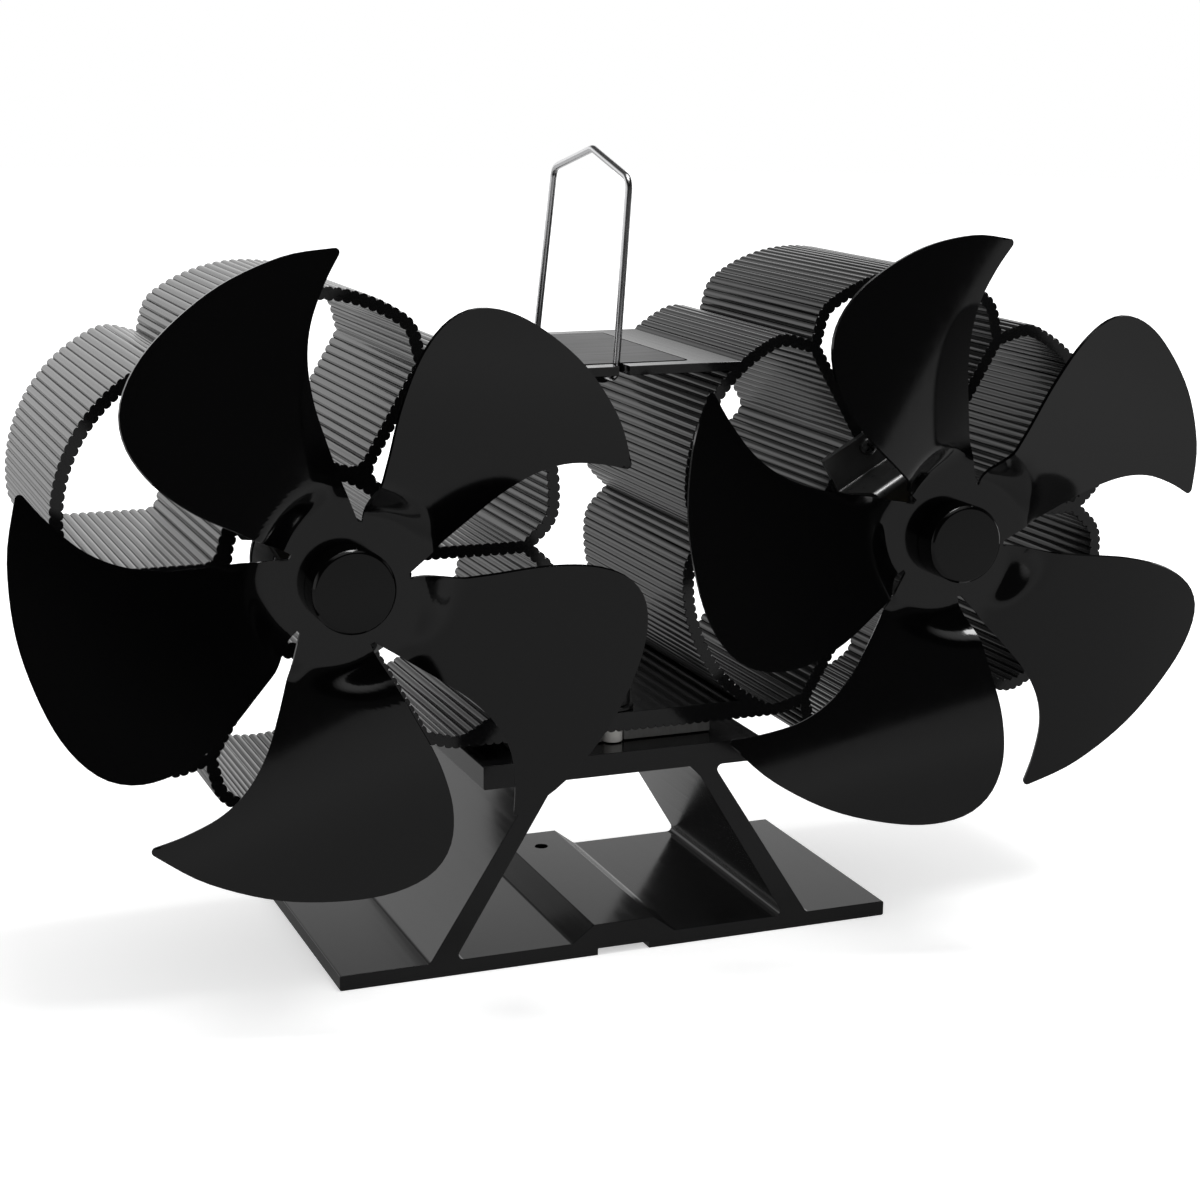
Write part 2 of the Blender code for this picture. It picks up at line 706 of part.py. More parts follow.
def add_handle_boss(cooler, assembly):
    """The half-round boss with its bore, and a slot through the top plate for each handle leg."""
    ends = (-COOLER_FRONT + BOSS_END_MARGIN, COOLER_BACK - BOSS_END_MARGIN)
    into_plate = LABEL_PLATE_BOTTOM + LABEL_PLATE_THICKNESS / 2
    half_round = arc((0, LABEL_PLATE_BOTTOM), BOSS_RADIUS, math.pi, math.tau)
    outline = half_round + [(BOSS_RADIUS, into_plate), (-BOSS_RADIUS, into_plate)]
    boss = add_object("handle_boss", flat_mesh([outline], ends[1] - ends[0]), along_depth(*ends), assembly)
    cut(cooler, boss, "UNION")
    bore = rod_cutter(
        "handle_bore",
        BORE_RADIUS,
        Matrix.Translation((0, COOLER_MIDDLE, HINGE_HEIGHT)) @ FACING_FRONT,
        ends[1] - ends[0] + 2 * CUT_OVERRUN,
        assembly,
    )
    cut(cooler, bore)
    half_slot = SLOT_WIDTH / 2
    slot_end = HANDLE_LEG_REACH - WIRE_RADIUS - SLOT_END_GAP
    slot_low = LABEL_PLATE_BOTTOM - CUT_OVERRUN
    slot_high = LABEL_PLATE_TOP + CUT_OVERRUN
    spans = (
        ("front_slot", -COOLER_FRONT - CUT_OVERRUN, COOLER_MIDDLE - slot_end),
        ("rear_slot", COOLER_MIDDLE + slot_end, COOLER_BACK + CUT_OVERRUN),
    )
    for name, front, back in spans:
        slot = box_cutter(name, (-half_slot, front, slot_low), (half_slot, back, slot_high), assembly)
        cut(cooler, slot)


# Handle

def make_handle(assembly):
    """One wire, from the end of its front foot in the bore, over the top and back into the bore."""
    hinge = add_empty("handle_axis", (0, COOLER_MIDDLE, HINGE_HEIGHT), assembly)
    hinge.rotation_euler = (0, HANDLE_LEAN, 0)
    foot_end = HANDLE_LEG_REACH - HANDLE_FOOT_LENGTH
    corners = [
        (-foot_end, 0, 0),
        (-HANDLE_LEG_REACH, 0, HANDLE_FOOT_BEND),
        (-HANDLE_SHOULDER_REACH, HANDLE_SHOULDER_RISE, HANDLE_SHOULDER_BEND),
        (0, HANDLE_TOP_RISE, HANDLE_TOP_BEND),
        (HANDLE_SHOULDER_REACH, HANDLE_SHOULDER_RISE, HANDLE_SHOULDER_BEND),
        (HANDLE_LEG_REACH, 0, HANDLE_FOOT_BEND),
        (foot_end, 0, 0),
    ]
    path = rounded(corners, closed=False)
    curve = bpy.data.curves.new("carry_handle", "CURVE")
    curve.dimensions = "3D"
    curve.bevel_depth = WIRE_RADIUS
    curve.bevel_resolution = 2
    curve.use_fill_caps = True
    spline = curve.splines.new("POLY")
    spline.points.add(len(path) - 1)
    for point, (y, z) in zip(spline.points, path):
        point.co = (0, y, z, 1)
    add_object("carry_handle", curve, Matrix.Identity(4), hinge, ((0.72, 0.72, 0.73), 0.12, 1.0))


# Clamp screws

def make_clamp(name, depth, assembly):
    """One of the two screws that press the cooling extrusion onto the module."""
    place = Matrix.Translation((0, depth, 0))
    washer_bottom = COOLER_PLATE_TOP + SEAT_GAP
    washer_top = washer_bottom + CLAMP_WASHER_THICKNESS
    hole = CLAMP_SCREW_RADIUS + BORE_GAP
    add_turned(
        name + "_clamp_washer",
        ring_profile(hole, CLAMP_WASHER_RADIUS, washer_bottom, washer_top),
        place,
        assembly,
        ((0.10, 0.10, 0.10), 0.5, 0.4),
        closed=True,
    )
    bush_low = BASE_HEIGHT + SEAT_GAP
    bush_high = COOLER_BOTTOM - SEAT_GAP
    add_turned(
        name + "_insulating_bush",
        ring_profile(hole, BUSH_RADIUS, bush_low, bush_high),
        place,
        assembly,
        ((0.80, 0.79, 0.75), 0.6, 0.0),
        closed=True,
        segments=SMALL_SEGMENTS,
    )
    head_bottom = washer_top + SEAT_GAP
    head_top = head_bottom + CLAMP_HEAD_HEIGHT
    end = BASE_HEIGHT - TOP_PLATE_THICKNESS + CLAMP_SCREW_END_MARGIN
    screw = add_turned(
        name + "_clamp_screw",
        [
            (0, head_top),
            (CLAMP_HEAD_RADIUS - CLAMP_HEAD_BEVEL, head_top),
            (CLAMP_HEAD_RADIUS, head_top - CLAMP_HEAD_BEVEL),
            (CLAMP_HEAD_RADIUS, head_bottom),
            (CLAMP_SCREW_RADIUS, head_bottom),
            (CLAMP_SCREW_RADIUS, end),
            (0, end),
        ],
        place,
        assembly,
        ((0.08, 0.08, 0.08), 0.4, 0.6),
    )
    socket = add_object(
        name + "_clamp_socket",
        rod_mesh(CLAMP_SOCKET_RADIUS, 2 * CLAMP_SOCKET_DEPTH, SOCKET_SIDES),
        Matrix.Translation((0, depth, head_top)),
        assembly,
    )
    cut(screw, socket)


def ring_profile(inner, outer, low, high):
    return [(inner, high), (outer, high), (outer, low), (inner, low)]


# Motors and their brackets

def make_motor(side, motor):
    """Can with its front boss, the rear end cap with two terminals, and the shaft's bearing bore."""
    bore = SHAFT_RADIUS + BORE_GAP
    front = MOTOR_FRONT
    boss_front = front + MOTOR_BOSS_LENGTH
    can = add_turned(
        side + "_motor_can",
        [
            (bore, boss_front),
            (MOTOR_BOSS_RADIUS, boss_front),
            (MOTOR_BOSS_RADIUS, front),
            (MOTOR_RADIUS - MOTOR_EDGE, front),
            (MOTOR_RADIUS, front - MOTOR_EDGE),
            (MOTOR_RADIUS, MOTOR_BACK),
            (0, MOTOR_BACK),
            (0, boss_front - MOTOR_BORE_DEPTH),
            (bore, boss_front - MOTOR_BORE_DEPTH),
        ],
        FACING_FRONT,
        motor,
        ((0.42, 0.42, 0.43), 0.35, 1.0),
        closed=True,
    )
    for place in (-1, 1):
        face_hole = rod_cutter(
            f"{side}_face_hole_{place + 2}",
            FACE_SCREW_RADIUS + BORE_GAP,
            along_bracket(place * FACE_SCREW_DISTANCE, MOTOR_FRONT),
            2 * FACE_HOLE_DEPTH,
            motor,
        )
        cut(can, face_hole)
    cap_front = MOTOR_BACK - SEAT_GAP
    cap_back = cap_front - MOTOR_CAP_THICKNESS
    boss_back = cap_back - MOTOR_CAP_BOSS_LENGTH
    cap = add_turned(
        side + "_motor_end_cap",
        [
            (0, cap_front),
            (MOTOR_CAP_RADIUS, cap_front),
            (MOTOR_CAP_RADIUS, cap_back),
            (MOTOR_CAP_BOSS_RADIUS, cap_back),
            (MOTOR_CAP_BOSS_RADIUS, boss_back),
            (0, boss_back),
        ],
        FACING_FRONT,
        motor,
        ((0.05, 0.05, 0.05), 0.6, 0.0),
    )
    for place in (-1, 1):
        centre = place * TERMINAL_DISTANCE
        terminal = box_cutter(
            f"{side}_terminal_{place + 2}",
            (centre - TERMINAL_WIDTH / 2, -cap_back - MOTOR_CAP_THICKNESS / 2, -TERMINAL_THICKNESS / 2),
            (centre + TERMINAL_WIDTH / 2, -cap_back + TERMINAL_LENGTH, TERMINAL_THICKNESS / 2),
            motor,
        )
        cut(cap, terminal, "UNION")


def along_bracket(distance, front):
    """A place on the bracket's line through the two screw ports, with its top towards the front."""
    x, z = polar(distance, PORT_SPOKES[0] * SECTOR)
    return Matrix.Translation((x, -front, z)) @ FACING_FRONT


def make_bracket(side, motor):
    """A strip folded into a flat across the motor's face, and two legs that widen to their feet."""
    front = BRACKET_FRONT
    seat = COOLER_FRONT + SEAT_GAP
    leg = BRACKET_LEG_DISTANCE
    thick = BRACKET_THICKNESS
    bend = BRACKET_BEND_RADIUS
    right = [
        (0, front, 0),
        (leg + thick, front, bend),
        (leg + thick, seat + thick, bend - thick),
        (BRACKET_FOOT_REACH, seat + thick, 0),
        (BRACKET_FOOT_REACH, seat, 0),
        (leg, seat, bend),
        (leg, front - thick, bend - thick),
        (0, front - thick, 0),
    ]
    profile = mirrored(rounded(right, closed=False)[1:-1])
    turn = Matrix.Rotation(-PORT_SPOKES[0] * SECTOR, 4, "Y") @ Matrix.Rotation(math.pi, 4, "X")
    bracket = add_object(
        side + "_motor_bracket",
        flat_mesh([profile], BRACKET_FOOT_WIDTH),
        turn,
        motor,
        ((0.06, 0.06, 0.06), 0.45, 0.5),
    )
    flare_end = seat + 2 * thick
    slope = (BRACKET_FOOT_WIDTH - BRACKET_WIDTH) / 2 / (front - flare_end)
    narrow = BRACKET_WIDTH / 2 - slope * CUT_OVERRUN
    wide = BRACKET_FOOT_WIDTH / 2 + slope * CUT_OVERRUN
    for edge in (-1, 1):
        beside = [
            (edge * narrow, front + CUT_OVERRUN),
            (edge * wide, front + CUT_OVERRUN),
            (edge * wide, flare_end - CUT_OVERRUN),
        ]
        trimming = add_object(
            f"{side}_bracket_side_{edge + 2}",
            flat_mesh([beside], 2 * (leg + thick + CUT_OVERRUN)),
            turn @ Matrix.Rotation(math.radians(90), 4, "Y"),
            motor,
        )
        cut(bracket, trimming)
    boss_hole = rod_cutter(
        side + "_bracket_boss_hole",
        MOTOR_BOSS_RADIUS + BORE_GAP,
        along_bracket(0, front - thick / 2),
        thick + 2 * CUT_OVERRUN,
        motor,
    )
    cut(bracket, boss_hole)
    for place, word in ((1, "upper"), (-1, "lower")):
        holes = (
            (word + "_face_screw", FACE_SCREW_DISTANCE, front - thick / 2, FACE_SCREW_RADIUS),
            (word + "_port_screw", PORT_DISTANCE, seat + thick / 2, PORT_SCREW_RADIUS),
        )
        for name, distance, depth, radius in holes:
            hole = rod_cutter(
                f"{side}_{name}_hole",
                radius + BORE_GAP,
                along_bracket(place * distance, depth),
                thick + 2 * CUT_OVERRUN,
                motor,
            )
            cut(bracket, hole)
        add_screw(
            f"{side}_{word}_face_screw",
            along_bracket(place * FACE_SCREW_DISTANCE, front + SEAT_GAP),
            (FACE_SCREW_RADIUS, thick + SEAT_GAP + FACE_SCREW_BITE, FACE_HEAD_RADIUS, FACE_HEAD_HEIGHT),
            motor,
        )
        add_screw(
            f"{side}_{word}_port_screw",
            along_bracket(place * PORT_DISTANCE, seat + thick + SEAT_GAP),
            (PORT_SCREW_RADIUS, PORT_SCREW_LENGTH, PORT_HEAD_RADIUS, PORT_HEAD_HEIGHT),
            motor,
        )


def add_screw(name, matrix, sizes, parent):
    """A pan-head screw whose head sits at its origin, with its shank behind."""
    radius, length, head_radius, head_height = sizes
    add_turned(
        name,
        [
            (0, head_height),
            (head_radius * SCREW_CROWN_SHARE, head_height),
            (head_radius, head_height - SCREW_HEAD_CROWN),
            (head_radius, 0),
            (radius, 0),
            (radius, -length),
            (0, -length),
        ],
        matrix,
        parent,
        ((0.09, 0.09, 0.09), 0.4, 0.7),
        segments=SMALL_SEGMENTS,
    )


# Fans

def blade_depth(along, across):
    """How far back from the hub's plane the sheet lies; the flat round the hub ends in a spiral crease."""
    radius = math.hypot(along, across)
    turned = (math.atan2(across, along) - ROOT_START_ANGLE) * BLADE_COUNT / math.tau
    turned = min(1, max(0, turned))
    crease = CREASE_START_RADIUS + (CREASE_END_RADIUS - CREASE_START_RADIUS) * turned
    share = min(1, max(0, (radius - crease) / (HUB_BLEND_RADIUS - crease)))
    bend = share * share * (3 - 2 * share)
    along, across = along / FAN_RADIUS, across / FAN_RADIUS
    rise = RISE_SHARE * along + PITCH_SHARE * across
    rise += TWIST_SHARE * along * across + CAMBER_SHARE * across**2
    return FAN_RADIUS * rise * bend


def blade_tip():
    """The rounded tip of the blade, from its trailing edge to its leading one."""
    trailing, tip, leading = [
        (u * FAN_RADIUS, v * FAN_RADIUS)
        for u, v in (TRAILING_EDGE_SHARES[1], LEADING_EDGE_SHARES[0], LEADING_EDGE_SHARES[1])
    ]
    corners = [(*trailing, 0), (*tip, BLADE_TIP_ROUND), (*leading, 0)]
    return smooth(rounded(corners, closed=False)[1:-1], BLADE_COLUMNS)


def blade_edge(tip_end, shares, root_angle):
    """An edge of the blade from the end of its tip to the hub's flat disc."""
    controls = [tip_end] + [(u * FAN_RADIUS, v * FAN_RADIUS) for u, v in shares[1:]]
    return smooth(controls + [polar(HUB_FLAT_RADIUS, root_angle)], BLADE_ROWS, ROW_CROWDING)


def on_sheet(blade, along, across, depth=0.0):
    """A place in one of the blades, which follow each other clockwise, with Y back and Z up."""
    turn = math.tau * blade / BLADE_COUNT
    x = along * math.sin(turn) + across * math.cos(turn)
    z = along * math.cos(turn) - across * math.sin(turn)
    return (x, depth - HUB_PLANE_FRONT, z)


def blade_sheet():
    """The middle surface of the whole fan: a flat disc with a hole, and five blades."""
    start = ROOT_START_ANGLE + SLIT_HALF_ANGLE
    end = ROOT_START_ANGLE + math.tau / BLADE_COUNT - SLIT_HALF_ANGLE
    tip = blade_tip()
    leading = blade_edge(tip[-1], LEADING_EDGE_SHARES, end)
    trailing = blade_edge(tip[0], TRAILING_EDGE_SHARES, start)
    columns = [i / BLADE_COLUMNS for i in range(BLADE_COLUMNS + 1)]
    sheet = bmesh.new()
    inner, outer = [], []
    for blade in range(BLADE_COUNT):
        rows = [[sheet.verts.new(on_sheet(blade, *place, blade_depth(*place))) for place in tip]]
        for first, last in list(zip(trailing, leading))[1:-1]:
            row = []
            for share in columns:
                along = first[0] + (last[0] - first[0]) * share
                across = first[1] + (last[1] - first[1]) * share
                row.append(sheet.verts.new(on_sheet(blade, along, across, blade_depth(along, across))))
            rows.append(row)
        angles = [start + (end - start) * share for share in columns]
        rows.append([sheet.verts.new(on_sheet(blade, *polar(HUB_FLAT_RADIUS, angle))) for angle in angles])
        outer += rows[-1]
        inner += [sheet.verts.new(on_sheet(blade, *polar(HUB_HOLE_RADIUS, angle))) for angle in angles]
        for upper, lower in zip(rows, rows[1:]):
            for i in range(BLADE_COLUMNS):
                sheet.faces.new((upper[i], lower[i], lower[i + 1], upper[i + 1]))
    count = len(outer)
    for i in range(count):
        j = (i + 1) % count
        sheet.faces.new((outer[i], inner[i], inner[j], outer[j]))
    bmesh.ops.recalc_face_normals(sheet, faces=sheet.faces)
    mesh = bpy.data.meshes.new("blade_sheet")
    sheet.to_mesh(mesh)
    sheet.free()
    mesh.shade_smooth()
    return mesh


def make_fan(side, fan):
    """The blades, the cap in front of them, the collar behind them and the shaft that turns them."""
    blades = add_object(
        side + "_fan_blades", blade_sheet(), Matrix.Identity(4), fan, ((0.02, 0.02, 0.021), 0.4, 0.2)
    )
    solid = blades.modifiers.new("sheet", "SOLIDIFY")
    solid.thickness = BLADE_THICKNESS
    solid.offset = 0
    solid.use_even_offset = False
    cap_back = SHEET_FRONT + SEAT_GAP
    edge_centre = (HUB_CAP_RADIUS - HUB_CAP_EDGE, HUB_CAP_FRONT - HUB_CAP_EDGE)
    add_turned(
        side + "_hub_cap",
        [(0, HUB_CAP_FRONT)]
        + arc(edge_centre, HUB_CAP_EDGE, math.pi / 2, 0)
        + [
            (HUB_CAP_RADIUS, cap_back),
            (CAP_BORE_RADIUS, cap_back),
            (CAP_BORE_RADIUS, CAP_BORE_FRONT),
            (0, CAP_BORE_FRONT),
        ],
        FACING_FRONT,
        fan,
        ((0.018, 0.018, 0.018), 0.35, 0.0),
    )
    bore = SHAFT_RADIUS + BORE_GAP
    flange_front = SHEET_BACK - SEAT_GAP
    flange_back = flange_front - COLLAR_FLANGE_THICKNESS
    spigot_front = CAP_BORE_FRONT - BORE_GAP
    add_turned(
        side + "_hub_collar",
        [
            (bore, spigot_front),
            (SPIGOT_RADIUS, spigot_front),
            (SPIGOT_RADIUS, flange_front),
            (COLLAR_FLANGE_RADIUS, flange_front),
            (COLLAR_FLANGE_RADIUS, flange_back),
            (COLLAR_RADIUS, flange_back),
            (COLLAR_RADIUS, COLLAR_BACK),
            (bore, COLLAR_BACK),
        ],
        FACING_FRONT,
        fan,
        ((0.65, 0.55, 0.30), 0.35, 1.0),
        closed=True,
        segments=SMALL_SEGMENTS,
    )
    shaft_front = spigot_front - SHAFT_END_GAP
    shaft_back = MOTOR_FRONT + MOTOR_BOSS_LENGTH - MOTOR_BORE_DEPTH + SHAFT_END_GAP
    add_object(
        side + "_motor_shaft",
        rod_mesh(SHAFT_RADIUS, shaft_front - shaft_back, SMALL_SEGMENTS),
        Matrix.Translation((0, -(shaft_front + shaft_back) / 2, 0)) @ FACING_FRONT,
        fan,
        ((0.70, 0.70, 0.72), 0.25, 1.0),
    )


def centre_on_floor(assembly):
    """Moves everything along Y, so that the origin lies under the middle of the fan's depth."""
    bpy.context.view_layer.update()
    graph = bpy.context.evaluated_depsgraph_get()
    depths = []
    for obj in bpy.data.collections["stove_fan"].objects:
        if obj.type == "EMPTY":
            continue
        seen = obj.evaluated_get(graph)
        depths += [(seen.matrix_world @ vertex.co).y for vertex in seen.to_mesh().vertices]
        seen.to_mesh_clear()
    assembly.location.y = -(min(depths) + max(depths)) / 2


def main():
    start_scene()
    assembly = add_empty("assembly", (0, 0, 0))
    make_base(assembly)
    make_bimetal(assembly)
    make_module(assembly)
    make_gasket(assembly)
    make_cooler(assembly)
    make_handle(assembly)
    make_clamp("front", -CLAMP_DISTANCE, assembly)
    make_clamp("rear", CLAMP_DISTANCE, assembly)
    for side, sign, turn in (("left", -1, LEFT_FAN_TURN), ("right", 1, RIGHT_FAN_TURN)):
        centre = (sign * FLOWER_HALF_SPACING, 0, FLOWER_HEIGHT)
        motor = add_empty(side + "_motor_place", centre, assembly)
        make_motor(side, motor)
        make_bracket(side, motor)
        fan = add_empty(side + "_fan_axis", centre, assembly)
        fan.rotation_euler = (0, turn, 0)
        make_fan(side, fan)
    centre_on_floor(assembly)


main()
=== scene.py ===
"""Looks of the two-fan stove fan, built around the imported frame, in metres.

X runs across the fan, Y from its front to its back and Z up, as in the frame.
"""

import json
import math

import bmesh
import bpy
from mathutils import Matrix, Vector
from mathutils.geometry import interpolate_bezier, tessellate_polygon


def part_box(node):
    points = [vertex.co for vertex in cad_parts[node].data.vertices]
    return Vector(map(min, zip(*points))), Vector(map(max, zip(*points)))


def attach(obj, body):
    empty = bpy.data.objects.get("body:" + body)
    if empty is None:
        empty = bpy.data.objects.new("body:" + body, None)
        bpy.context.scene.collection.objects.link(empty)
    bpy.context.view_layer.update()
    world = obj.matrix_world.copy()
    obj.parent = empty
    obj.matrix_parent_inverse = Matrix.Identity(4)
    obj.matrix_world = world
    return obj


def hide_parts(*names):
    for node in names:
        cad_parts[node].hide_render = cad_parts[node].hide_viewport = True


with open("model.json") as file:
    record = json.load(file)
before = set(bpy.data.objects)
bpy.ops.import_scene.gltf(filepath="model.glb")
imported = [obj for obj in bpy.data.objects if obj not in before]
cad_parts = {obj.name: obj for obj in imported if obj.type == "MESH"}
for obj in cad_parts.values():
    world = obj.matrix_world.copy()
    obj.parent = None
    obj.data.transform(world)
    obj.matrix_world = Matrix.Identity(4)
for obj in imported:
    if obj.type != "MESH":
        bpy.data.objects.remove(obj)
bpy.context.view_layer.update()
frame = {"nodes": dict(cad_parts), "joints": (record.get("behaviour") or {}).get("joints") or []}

# Camera, solved from the photograph
CAMERA_PLACE = Vector((-0.24837, -0.61719, 0.25997))
CAMERA_YAW = math.radians(-21.90)
CAMERA_PITCH = math.radians(13.48)
CAMERA_ROLL = math.radians(0.61)
CAMERA_LENS = 71.02
CAMERA_SENSOR = 36.0

# Ribs along the petals of the cooling extrusion
RIB_PITCH = 0.00245
RIB_DEPTH = 0.0008
RIB_STEPS = 8
RIB_FADE = 0.0012
CORNER_TURN = math.radians(25)
PLATE_RUN = 0.006
END_BEVEL = 0.00012
SECTION_BEHIND_FRONT = 0.012
SAME_POINT = 0.000005
CUT_OVERRUN = 0.002
ROUND_SEGMENTS = 96
PORT_SEGMENTS = ROUND_SEGMENTS // 3
ROUNDING_STEPS = 4
STRAIGHT_ANGLE = math.radians(0.3)
ROUND_TOLERANCE = 0.03

# Angles above which an edge is sharp, or is rounded by a bevel
SHARP_ANGLE = math.radians(35)
BLADE_SHARP_ANGLE = math.radians(50)
WIRE_SHARP_ANGLE = math.radians(60)
FLAT_ANGLE = math.radians(1)
BEVEL_ANGLE = math.radians(40)
BLADE_BEVEL_ANGLE = math.radians(60)
BEVEL_STEPS = 2
BLADE_BEVEL_STEPS = 3

# Fans, with the source's shape and a finer mesh
BLADE_COUNT = 5
FAN_RADIUS = 0.085
BLADE_THICKNESS = 0.001
BLADE_TIP_ROUND = 0.0012
HUB_FLAT_RADIUS = 0.017
CREASE_START_RADIUS = 0.0185
CREASE_END_RADIUS = 0.0235
HUB_BLEND_RADIUS = 0.0295
SEAT_GAP = 0.0003
HUB_HOLE_RADIUS = 0.003
SLIT_HALF_ANGLE = math.radians(2)
ROOT_START_ANGLE = math.radians(-60)
FAN_TURNS = {"left": math.radians(0.9), "right": math.radians(13.3)}
LEADING_EDGE_SHARES = (
    (1.008, 0.013),
    (0.900, -0.054),
    (0.790, -0.102),
    (0.680, -0.117),
    (0.560, -0.101),
    (0.450, -0.065),
    (0.333, -0.020),
    (0.250, 0.014),
)
TRAILING_EDGE_SHARES = (
    (1.008, 0.013),
    (0.985, -0.190),
    (0.900, -0.405),
    (0.755, -0.597),
    (0.620, -0.690),
    (0.500, -0.697),
    (0.385, -0.630),
    (0.285, -0.506),
    (0.207, -0.358),
    (0.160, -0.268),
)
RISE_SHARE = 0.0831
PITCH_SHARE = 0.5907
TWIST_SHARE = -0.238
CAMBER_SHARE = 0.2125
BLADE_ROWS = 60
BLADE_COLUMNS = 20
ROW_CROWDING = 1.7
ROOT_BEND_RADIUS = 0.034
BLADE_EDGE_ROUND = 0.0003
CAP_FACE_SHARE = 0.93
CAP_CHAMFER_DEPTH = 0.0008
CAP_ROUND = 0.00025

# Small pieces, first the roundings of their edges
SOFT_EDGE = 0.00025
RIM_ROUND = 0.00015
FINE_ROUND = 0.0002
SMALL_ROUND = 0.0003
END_ROUND = 0.0004
BOSS_ROUND = 0.0005
HEAD_ROUND = 0.0006
PORT_SCREW_SHARES = (0.17, 0.46)
FACE_SCREW_SHARES = (0.25, 0.54)
DOME_SHARES = ((0.55, 0.06), (0.93, 0.38))
DOME_ROUND_SHARE = 0.15
RECESS_REACH_SHARE = 0.6
RECESS_WIDTH = 0.0006
RECESS_DEPTH = 0.0009
SOCKET_RADIUS = 0.0023
SOCKET_DEPTH = 0.0022
FLANGE_THICKNESS = 0.002
COLLAR_RADIUS = 0.0036
SHAFT_RADIUS = 0.001
CLAMP_SCREW_RADIUS = 0.002
CLAMP_HEAD_HEIGHT = 0.004
MOTOR_BOSS_RADIUS = 0.003
MOTOR_BOSS_LENGTH = 0.0026
MOTOR_BORE_DEPTH = 0.0064
MOTOR_STEP = 0.0003
MOTOR_STEP_SHARES = (0.62, 0.64)
MOTOR_SHOULDER_ROUND = 0.0014
MOTOR_CRIMP_BACK = 0.0030
MOTOR_CRIMP_DEPTH = 0.0004
MOTOR_CRIMP_FRONT = -0.0005
MOTOR_CRIMP_FLAT = 0.0006
MOTOR_CRIMP_END = 0.0011
CAP_PLATE_THICKNESS = 0.002
CAP_BOSS_RADIUS = 0.0045
CAP_BOSS_LENGTH = 0.0016
CAP_GROOVE_DEPTH = 0.0004
CAP_GROOVE_SHARES = (0.82, 0.80)
CAP_GROOVE_INNER_SHARE = 1.3
TERMINAL_WIDTH = 0.0024
TERMINAL_THICKNESS = 0.0005
TERMINAL_DISTANCE = 0.0095
TERMINAL_SUNK = 0.001

# Bare place for the label, a thin grey plate with a dark border
LABEL_FRONT_RIGHT = Vector((0.0222, -0.0098))
LABEL_BACK = 0.0566
LABEL_CORNER = 0.002
LABEL_HEIGHT = 0.00015
LABEL_BORDER = 0.0007

# Boss, bore and slots for the handle in the top plate, and holes for the clamp screws
HINGE_DROP = 0.0042
LABEL_PLATE_THICKNESS = 0.0026
BOSS_RADIUS = 0.0042
BOSS_END_MARGIN = 0.016
SLOT_WIDTH = 0.0032
SLOT_END_GAP = 0.0006
BORE_GAP = 0.0003
BUSH_WALL = 0.0007

# Handle of bent wire
WIRE_RADIUS = 0.00105
WIRE_BEVEL_STEPS = 6
HANDLE_LEG_REACH = 0.0323
HANDLE_SHOULDER_REACH = 0.0293
HANDLE_SHOULDER_RISE = 0.0548
HANDLE_TOP_RISE = 0.0618
HANDLE_FOOT_LENGTH = 0.019
HANDLE_FOOT_BEND = 0.0022
HANDLE_SHOULDER_BEND = 0.004
HANDLE_TOP_BEND = 0.006
HANDLE_LEAN = math.radians(5)
ARC_STEPS = 10

# Looks
NOISE_LOW = 0.3
NOISE_HIGH = 0.7
PLAIN_IOR = 1.5
PLAIN_SPECULAR = 0.5

# Surroundings
LIGHT_PLACE = Vector((0.1, -0.05, 1.25))
LIGHT_TARGET = Vector((0.0, 0.0, 0.1))
LIGHT_WIDTH = 0.45
LIGHT_DEPTH = 0.35
LIGHT_POWER = 7.5
FLOOR_RADIUS = 4.0
FLOOR_COLOUR = 0.9
FLOOR_ROUGHNESS = 0.6
FLOOR_GLOW = 0.5
FLOOR_NEAR = 0.15
FLOOR_FAR = 0.5
FLOOR_FRONT = -0.3
FLOOR_BACK = 0.4
FLOOR_FRONT_LEVEL = 0.22
FLOOR_BACK_LEVEL = 0.32
WORLD_SOFT_LEVEL = 0.65
WORLD_FRONT_EDGE = -0.15
WORLD_BACK_EDGE = 0.55
WORLD_FRONT_LEVEL = 0.03
WORLD_ROOF_START = 0.22
WORLD_ROOF_END = 0.52
WORLD_ROOF_LEVEL = 0.05
WORLD_TOP_START = 0.8
WORLD_TOP_END = 0.95
WORLD_TOP_LEVEL = 0.8
WORLD_LEFT_START = -0.84
WORLD_LEFT_END = -0.95
WORLD_LEFT_LEVEL = 0.8


# Placing and making

def middle(node):
    low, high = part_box(node)
    return (low + high) / 2


def size(node):
    low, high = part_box(node)
    return high - low


def keep(obj, body, slot_name, *nodes):
    """A finished piece rides on a body and stands for some nodes. Its slot name is not used."""
    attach(obj, body)
    if nodes:
        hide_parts(*nodes)
    return obj


def new_object(name, data, look):
    obj = bpy.data.objects.new(name, data)
    bpy.context.scene.collection.objects.link(obj)
    data.materials.clear()
    data.materials.append(look)
    return obj


def from_cells(name, cells, look):
    mesh = bpy.data.meshes.new(name)
    cells.to_mesh(mesh)
    cells.free()
    return new_object(name, mesh, look)


def shade(obj, sharp_angle=SHARP_ANGLE):
    obj.data.shade_smooth()
    obj.data.set_sharp_from_angle(angle=sharp_angle)


def frame_joint(name):
    return next(joint for joint in frame["joints"] if joint["name"] == name)


def apply_modifiers(obj):
    graph = bpy.context.evaluated_depsgraph_get()
    mesh = bpy.data.meshes.new_from_object(obj.evaluated_get(graph))
    obj.modifiers.clear()
    obj.data = mesh


def bevel(obj, width, steps, above):
    """Rounds the edges that turn by more than an angle."""
    edge = obj.modifiers.new("edge", "BEVEL")
    edge.width = width
    edge.segments = steps
    edge.limit_method = "ANGLE"
    edge.angle_limit = above


